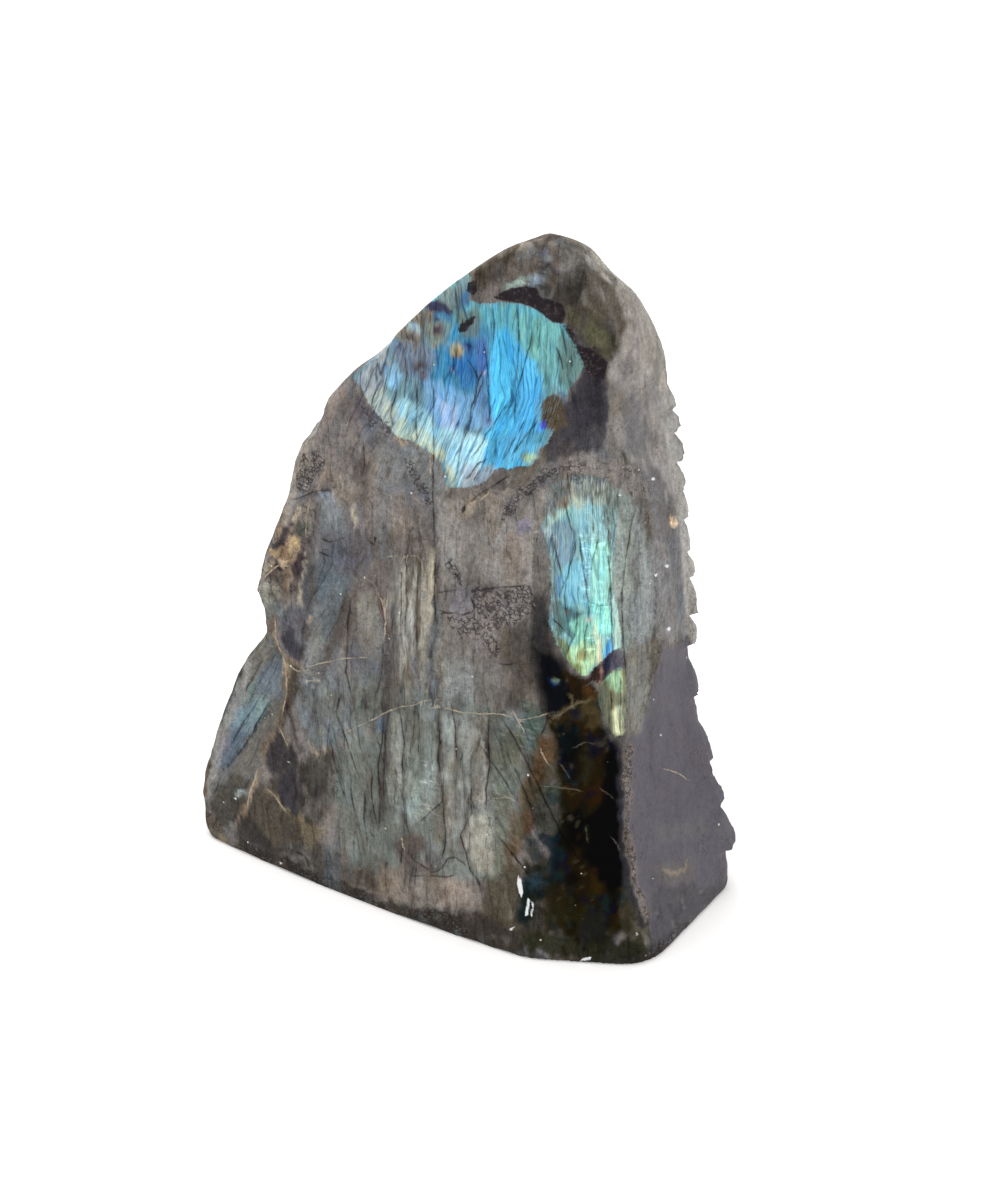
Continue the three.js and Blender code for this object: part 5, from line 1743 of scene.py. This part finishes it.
# %% Paint the pitted fields and the rungs
PITTED_ZONES = [
    ("main field", 1.0, 1.0, 2.5, [
        (470, 594), (500, 587), (528, 586), (536, 600), (534, 612), (520, 622), (508, 626), (492, 628),
        (500, 642), (500, 654), (490, 660), (486, 646), (474, 642), (460, 636), (448, 626), (440, 614),
        (462, 614), (474, 608)]),
    ("purple squiggles", 0.8, 1.0, 3, [
        (402, 458), (410, 460), (424, 480), (432, 498), (429, 508), (416, 498), (408, 480)]),
    ("upper neck", 0.9, 1.0, 3, [
        (500, 530), (503, 510), (516, 496), (530, 482), (546, 470), (560, 464), (566, 472), (546, 484),
        (530, 496), (518, 508), (510, 526)]),
    ("trail", 1.0, 1.0, 2, [(443, 562), (449, 559), (455, 572), (464, 586), (460, 590), (450, 574)]),
    ("speckled patch", 0.9, 1.0, 3, SPECKLED_PATCH),
    ("shade by the flash", 0.6, 1.0, 4, [
        (354, 392), (372, 406), (398, 434), (394, 444), (372, 428), (354, 404)]),
    ("bank above the flash", 0.5, 1.0, 5, outline_of(TOP_AND_SIDE_PATCHES, "brown bank")),
    ("edge of the dark zone", 0.8, 1.0, 3, [
        (564, 322), (576, 334), (584, 352), (600, 362), (596, 384), (580, 366)]),
    ("ridge line", 0.7, 1.0, 4, RIDGE_LINE),
    ("shelf", 0.35, 1.0, 5, outline_of(TOP_AND_SIDE_PATCHES, "sandy shelf")),
    ("foot band", 0.60, 1.0, 5, FOOT_BAND),
    ("clear part of the foot band", 0.0, 1.0, 6, [
        (470, 890), (520, 880), (560, 880), (640, 900), (650, 970), (470, 970)]),
]
RUNG_ZONES = [
    ("right of the ice streak", 1.0, 1.0, 4, [(418, 762), (442, 762), (442, 816), (418, 816)]),
    ("left of it", 0.8, 1.0, 4, [(386, 768), (402, 768), (402, 816), (388, 816)]),
    ("beside the wedge", 0.9, 1.0, 4, [(500, 722), (532, 722), (530, 756), (504, 760)]),
    ("foot of the wedge", 0.6, 1.0, 5, [(490, 796), (516, 796), (516, 850), (492, 850)]),
    ("right flash", 0.9, 1.0, 6, [(580, 500), (612, 500), (612, 650), (584, 650)]),
    ("dark zone", 0.5, 1.0, 5, [(584, 356), (606, 358), (606, 384), (584, 384)]),
    ("left of the teal depth", 1.0, 1.0, 4, [(520, 700), (574, 724), (574, 752), (548, 752), (516, 730)]),
    ("teal window", 0.9, 1.0, 4, [(536, 780), (562, 780), (562, 802), (536, 802)]),
    ("low inlet", 0.8, 1.0, 4, [(518, 862), (548, 862), (548, 884), (518, 884)]),
]
rungs = np.zeros(vertex_count)
paint_all(pits, PITTED_ZONES)
paint_all(rungs, RUNG_ZONES)

# %% [markdown]
# Every layer now becomes a named attribute of the mesh: one number, vector or colour a vertex. The shader
# reads them by name, and they stay on the stone from any side.

# %% Store every layer on the net
POLISH_SHEEN = 0.004
DARKEST = 0.0004
edge_layers = np.stack([flash_edge, dark_edge, pale_sides[:, 0]], axis=1)
finish_layers = np.stack([matt, silk, pits], axis=1)
opaque = np.ones((vertex_count, 1))
store(net, "tone", "FLOAT_COLOR", np.hstack([np.clip(tone - POLISH_SHEEN, DARKEST, 1), opaque]))
store(net, "glow", "FLOAT_COLOR", np.hstack([np.clip(glow, 0, 1), opaque]))
store(net, "edges", "FLOAT_VECTOR", edge_layers)
store(net, "finish", "FLOAT_VECTOR", finish_layers)
store(net, "grain", "FLOAT_VECTOR", grain)
store(net, "crack_sides", "FLOAT_VECTOR", crack_sides)
store(net, "crack_inks", "FLOAT_VECTOR", crack_inks)
store(net, "pale_ink", "FLOAT", pale_inks[:, 0])
store(net, "glint_and_grain_edge", "FLOAT", glint_and_grain_edge)
store(net, "veil", "FLOAT", veil)
store(net, "rungs", "FLOAT", rungs)
print("attributes:", [attribute.name for attribute in net.attributes if not attribute.is_internal])

# %% [markdown]
# ## The stone's finish
# The shader reads the painted layers and adds what is finer than the net: streaks along the grain, mottling,
# hairlines, the cracks, pits and white specks. It starts with a few helpers that each add one node.

# %% Start the material
stone_material.use_nodes = True
shader_graph = Graph(stone_material.node_tree)
principled = stone_material.node_tree.nodes["Principled BSDF"]


def painted(name, output=1):
    """A painted layer as a wire: output 0 is its colour, 1 its vector and 2 its number."""
    return shader_graph.node("ShaderNodeAttribute", {"attribute_name": name}, None, output)


def parts_of(vector):
    """The three numbers of a vector."""
    split = shader_graph.node("ShaderNodeSeparateXYZ", None, {0: vector})
    return [Wire(shader_graph, socket) for socket in split.socket.node.outputs]


def noise(vector, scale, detail=2.0, roughness=0.5):
    """Smooth noise around a half."""
    values = {"Vector": vector, "Scale": scale, "Detail": detail, "Roughness": roughness}
    return shader_graph.node("ShaderNodeTexNoise", None, values)


object_place = shader_graph.node("ShaderNodeTexCoord", output=3)
matt_wire, silk_wire, pits_wire = parts_of(painted("finish"))
flash_side, dark_side, pale_side = parts_of(painted("edges"))
PER_MM = 1 / MM
fine_noise = noise(object_place, 0.9 * PER_MM, 4.0, 0.62)
speck_noise = noise(object_place, 2.4 * PER_MM, 3.0, 0.65)
print("material started")

# %% [markdown]
# Streaks are noises stretched along the grain, a fine one and a broad one, on a flow that sways a little so
# that they never run quite straight. Where the stone is not silky they make way for plain mottling. Slow
# noises then stain the body brown, green-grey or blue-grey in patches.

# %% Streaks, mottling and stains
FACET_SCALE = 0.42 * PER_MM


def swing(wire, amount):
    """A noise brought round zero and scaled by that amount."""
    return (wire - 0.5) * amount


def moved(place, across=0.0, along=0.0):
    """A place shifted by numbers that may themselves be noises."""
    shift = shader_graph.node("ShaderNodeCombineXYZ", None, {0: across, 1: along, 2: 0.0})
    return shader_graph.node("ShaderNodeVectorMath", {"operation": "ADD"}, {0: place, 1: shift})


def walls(place, scale=1.0):
    """How far a point lies from the nearest wall between Voronoi cells."""
    settings = {"feature": "DISTANCE_TO_EDGE"}
    return shader_graph.node("ShaderNodeTexVoronoi", settings, {"Vector": place, "Scale": scale})


def cell_lots(place, scale=1.0):
    """Three numbers drawn for each Voronoi cell, the same all over the cell."""
    return parts_of(shader_graph.node("ShaderNodeTexVoronoi", None, {"Vector": place, "Scale": scale}, 1))


def mix(factor, under, over, mode="MIX"):
    """One colour over another."""
    settings = {"data_type": "RGBA", "blend_type": mode}
    return shader_graph.node("ShaderNodeMix", settings, {0: factor, 6: under, 7: over}, 2)


def tinted(factor, under, tint):
    """A colour multiplied by a tint where the factor is one."""
    return mix(factor, under, (*tint, 1), "MULTIPLY")


def shaded(under, light):
    """A colour multiplied by a plain number."""
    grey = shader_graph.node("ShaderNodeCombineXYZ", None, {0: light, 1: light, 2: light})
    return mix(1.0, under, grey, "MULTIPLY")


grain_place = painted("grain")
sway = swing(noise(shader_graph.stretch(grain_place, (0.16, 0.05, 0.12)), 1.0, 3.0), 4.0)
flow = moved(grain_place, across=sway)


def along_grain(scales, detail=3.0, roughness=0.5):
    """Noise on the flow, its three scales counted across the grain, along it and in depth."""
    return noise(shader_graph.stretch(flow, scales), 1.0, detail, roughness)


fine_streak = along_grain((3.4, 0.42, 0.6), 4.0, 0.7)
broad_streak = along_grain((0.62, 0.07, 0.2), 3.0, 0.6)
mottle = noise(object_place, 0.36 * PER_MM, 5.0, 0.62)
streaks = swing(fine_streak, 1.9) + swing(broad_streak, 0.85)
mottles = swing(mottle, 0.8) + swing(fine_noise, 1.2) + swing(speck_noise, 1.3)
stain_share = 0.3 + silk_wire.ease(0.10, 0.40) * 0.7
mottle_share = 0.35 + silk_wire.ease(0.10, 0.40) * 0.65 - silk_wire.ease(0.5, 1.0) * 0.60
facet_place = moved(object_place, across=swing(mottle, 3.0) * MM, along=swing(fine_noise, 2.0) * MM)
facet_light = cell_lots(facet_place, FACET_SCALE)[0]
facet_seam = 1 - walls(facet_place, FACET_SCALE).ease(0.0, 0.10)
facets = swing(facet_light, 0.36) - facet_seam * 0.30
rough_share = matt_wire.ease(0.62, 0.82)
light = 1 + silk_wire * streaks + mottle_share * mottles + rough_share * facets
body = shaded(painted("tone", 0), light)

STAINS = [
    # size per mm, where it begins, strength, tint
    (0.17, 0.50, 0.55, (0.72, 0.67, 0.62)),
    (0.11, 0.52, 0.50, (0.88, 0.97, 1.06)),
    (0.21, 0.53, 0.45, (1.18, 1.13, 1.06)),
    (0.62, 0.56, 0.50, (0.70, 0.66, 0.64)),
    (0.70, 0.58, 0.60, (1.26, 1.22, 1.14)),
]
COOL_TINT = (0.93, 1.0, 1.05)
for number, (stain_size, begin, strength, tint) in enumerate(STAINS):
    stain_place = moved(shader_graph.stretch(flow, (1.0, 0.45, 1.0)), along=31.0 * number)
    stain = noise(stain_place, stain_size, 5.0, 0.6).ease(begin, begin + 0.10)
    body = tinted(stain * stain_share * strength, body, tint)
block_place = moved(shader_graph.stretch(flow, (0.085, 0.030, 0.05)), across=swing(broad_streak, 0.12))
block_light, block_hue = cell_lots(block_place)[:2]
face_share = silk_wire.ease(0.15, 0.45)
body = shaded(body, 1 + (block_light - 0.5) * face_share * 0.26)
body = tinted(block_hue.ease(0.5, 0.9) * face_share * 0.6, body, COOL_TINT)
print(len(STAINS), "stains")

# %% [markdown]
# Hairlines are the walls between the cells of a Voronoi pattern, stretched along the grain until the cells
# are long blades. Each blade also has a shade of its own. Short pale rungs cross the silkiest blades, and
# thin fissures wander where a slow noise passes its middle value.

# %% Blades, hairlines, rungs and fissures
FISSURE_TINT = (0.45, 0.40, 0.38)


def size_of(value):
    """A number without its sign."""
    return value.math("ABSOLUTE", value)


bend = swing(along_grain((0.28, 0.12, 0.2), 4.0, 0.6), 0.7)
blade_place = moved(shader_graph.stretch(flow, (0.40, 0.020, 0.1)), across=bend)
come_and_go = along_grain((0.5, 0.12, 0.2), 3.0, 0.6).ease(0.44, 0.60)
wall = walls(blade_place)
hairline = (1 - wall.ease(0.008, 0.045)) * come_and_go * silk_wire
seam = (1 - wall.ease(0.0, 0.20)) * come_and_go * silk_wire
blade_light = cell_lots(blade_place)[0]
rung_patch = painted("rungs", 2) * along_grain((0.5, 0.2, 0.2)).ease(0.40, 0.55)
rung_noise = along_grain((0.30, 1.0, 0.4), 3.0, 0.55)
rungs = rung_patch * (rung_noise.ease(0.54, 0.66) * 0.75 - (1 - rung_noise).ease(0.54, 0.66) * 0.18)
body = shaded(body, 1 + silk_wire * swing(blade_light, 0.30) - seam * 0.26 + rungs)

fissure_noise = along_grain((0.20, 0.10, 0.2), 5.0, 0.62)
fissure_mask = noise(object_place, 0.11 * PER_MM, 3.0).ease(0.47, 0.58)
fissure = (1 - size_of(fissure_noise - 0.5).ease(0.0015, 0.010)) * fissure_mask
body = tinted(fissure * 0.75, body, FISSURE_TINT)

# %% [markdown]
# The flash has its own colours, with stronger streaks than the body and close dark hairlines. Its edge is the
# painted distance plus a little fine noise, and a painted veil lets it fade where it does not end in an edge.

# %% Lay the flash over the body
BLUER_TINT = (0.66, 0.84, 1.04)
GREENER_TINT = (1.16, 1.06, 0.94)
HAIRLINE_TINT = (0.30, 0.32, 0.38)


def larger(first, second):
    """The larger of two numbers."""
    return first.math("MAXIMUM", first, second)


hue_streak = along_grain((1.3, 0.10, 0.3), 3.0, 0.6)
flash_light = 1 + streaks * 0.95 + swing(blade_light, 0.30) - seam * 0.25 + rungs * 0.8
flash = shaded(painted("glow", 0), flash_light)
flash = tinted((1 - hue_streak).ease(0.50, 0.66), flash, BLUER_TINT)
flash = tinted(hue_streak.ease(0.52, 0.68), flash, GREENER_TINT)
ragged = swing(fine_noise, 5.0) + swing(speck_noise, 3.0)
veil = painted("veil", 2)
flash_edge_cover = (flash_side + ragged).ease(-0.9, 0.9)
flash_cover = flash_edge_cover * (veil + (fine_streak - 0.5) * (1 - veil) * 2.0).ease(0.02, 0.98)
surface = mix(flash_cover, body, flash)

close_wall = walls(moved(shader_graph.stretch(flow, (0.95, 0.030, 0.1)), across=bend))
flash_hairline = (1 - close_wall.ease(0.008, 0.085)) * (1 - come_and_go * 0.7) * flash_edge_cover
surface = tinted(larger(hairline * 0.8, flash_hairline * 0.7), surface, HAIRLINE_TINT)

# %% [markdown]
# Cracks are drawn where their signed distance passes zero, thicker in some places than others, with a soft
# shadow beside them. They darken what they cross, so a crack in the flash is still a little blue.

# %% Cracks, pale lines and dark marks
CRACK_WIDTH = 0.52
CRACK_TINT = (0.22, 0.20, 0.22)
SHADOW_TINT = (0.55, 0.52, 0.52)
PALE_SHADOW_TINT = (0.55, 0.52, 0.50)
PALE_LINE = "#B5AA96"
# white of the painted highlights and of the white grains
GLINT_AND_GRAIN_WHITE = "#E4E8E8"
MARK_BLACK = "#1F1A1F"
MARK_BROWN = "#4A3E3C"


def paint_colour(code):
    """A colour of six hexadecimal digits, as a socket value."""
    return (*linear(code), 1)


crack_width = CRACK_WIDTH * (0.3 + noise(object_place, 0.4 * PER_MM, 3.0) * 1.3)
crack_strength = noise(object_place, 0.3 * PER_MM, 4.0, 0.6).ease(0.30, 0.62)
crack = hairline * 0
crack_shadow = hairline * 0
for side, ink in zip(parts_of(painted("crack_sides")), parts_of(painted("crack_inks"))):
    reach = size_of(side + swing(speck_noise, 1.4)) - crack_width
    crack = larger(crack, (1 - reach.ease(-0.3, 0.7)) * ink)
    crack_shadow = larger(crack_shadow, (1 - reach.ease(0.0, 3.0)) * ink)
crack = crack * (0.35 + crack_strength * 0.65)
surface = tinted(crack_shadow * crack_strength * 0.45, surface, SHADOW_TINT)
surface = tinted(crack * 0.95, surface, CRACK_TINT)

pale_share = 0.25 + noise(object_place, 0.5 * PER_MM, 4.0, 0.7).ease(0.38, 0.56) * 0.75
pale_ink = painted("pale_ink", 2) * pale_share
pale_edge = size_of(pale_side + swing(speck_noise, 2.6) + swing(fine_noise, 1.6)) - 0.9 * crack_width
surface = tinted((1 - (pale_edge + 0.6).ease(0.0, 3.2)) * pale_ink * 0.5, surface, PALE_SHADOW_TINT)
surface = mix((1 - pale_edge.ease(-0.3, 0.7)) * pale_ink * 0.75, surface, paint_colour(PALE_LINE))

# painted highlights and white grains, both laid in as white colour
glint_and_grain_cover = (painted("glint_and_grain_edge", 2) + ragged * 0.45).ease(-0.5, 0.6)
surface = mix(glint_and_grain_cover * 0.95, surface, paint_colour(GLINT_AND_GRAIN_WHITE))
dark_cover = (dark_side + ragged * 0.9).ease(-0.9, 0.9)
dark_colour = mix(fine_noise.ease(0.50, 0.72), paint_colour(MARK_BLACK), paint_colour(MARK_BROWN))
surface = mix(dark_cover * 0.95, surface, dark_colour)

# %% [markdown]
# Pits are worm-eaten looking: dark rings round small grains, with pale grit between them. White specks are
# grains of other feldspars that took the polish differently: one cell in many of a Voronoi pattern holds
# one.

# %% Pits and specks
PIT_GRIT = "#A3978B"
PIT_DARK = "#29242A"
SPECK_WHITE = "#DDD8CC"
SPECK_SCALE = 0.5 * PER_MM
SPECK_SHARE = 0.955
pit_place = moved(object_place, across=swing(fine_noise, 2.2) * MM, along=swing(speck_noise, 1.6) * MM)
pit_zone = (pits_wire + swing(mottle, 1.6)).ease(0.35, 0.75)
pit_wall = 1 - walls(pit_place, 0.95 * PER_MM).ease(0.05, 0.20)
pit = pit_wall * noise(object_place, 0.8 * PER_MM, 3.0).ease(0.40, 0.50) * pit_zone
surface = mix(pit_zone * speck_noise.ease(0.54, 0.68) * 0.40, surface, paint_colour(PIT_GRIT))
surface = mix(pit * 0.75, surface, paint_colour(PIT_DARK))

speck_values = {"Vector": object_place, "Scale": SPECK_SCALE}
speck_distance = shader_graph.node("ShaderNodeTexVoronoi", None, speck_values)
speck_pick = cell_lots(object_place, SPECK_SCALE)[0]
speck = 1 - (speck_distance + swing(fine_noise, 0.25)).ease(0.07, 0.15)
speck = speck * speck_pick.ease(SPECK_SHARE, SPECK_SHARE + 0.02)
surface = mix(speck * 0.85, surface, paint_colour(SPECK_WHITE))

# %% [markdown]
# Roughness follows the painted finish, with a fine noise so that no face is evenly shiny. The relief too
# small for the net goes in as bump: sanding marks on the honed faces, grit on the broken ones, and a groove
# in every crack.

# %% Roughness and bump
POLISHED_ROUGHNESS = 0.13
SCRATCH_SCALES = (3.2 * PER_MM, 0.5 * PER_MM, 0.35 * PER_MM)
BUMP_STRENGTH = 0.7
BUMP_HEIGHT = 1.0 * MM
SHINE = 0.028
roughness = POLISHED_ROUGHNESS + matt_wire * 0.55 + swing(fine_noise, 0.12) + pit * 0.3
scratch = noise(shader_graph.stretch(object_place, SCRATCH_SCALES), 1.0, 2.0)
relief_height = (fine_noise * 0.30 + speck_noise * 0.16 + scratch * 0.10) * matt_wire
relief_height = relief_height - crack * 0.10 - pit * 0.16 - dark_cover * 0.06
bump_values = {"Strength": BUMP_STRENGTH, "Distance": BUMP_HEIGHT, "Height": relief_height}
bump = shader_graph.node("ShaderNodeBump", None, bump_values)

shader_graph.feed(principled.inputs["Base Color"], surface)
shader_graph.feed(principled.inputs["Roughness"], roughness)
shader_graph.feed(principled.inputs["Normal"], bump)
principled.inputs["Specular IOR Level"].default_value = SHINE
print("finish:", len(stone_material.node_tree.nodes), "nodes")

# %% [markdown]
# ## The finished stone
# The painted net stands for the plain solid from here on. It rides on the one body there is and wears the
# finish that the relief tree set on it, and the plain solid is hidden.

# %% Put the finished stone in place
stone = linked_object("labradorite_chunk", net)
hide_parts(NODE)
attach(stone, "root")
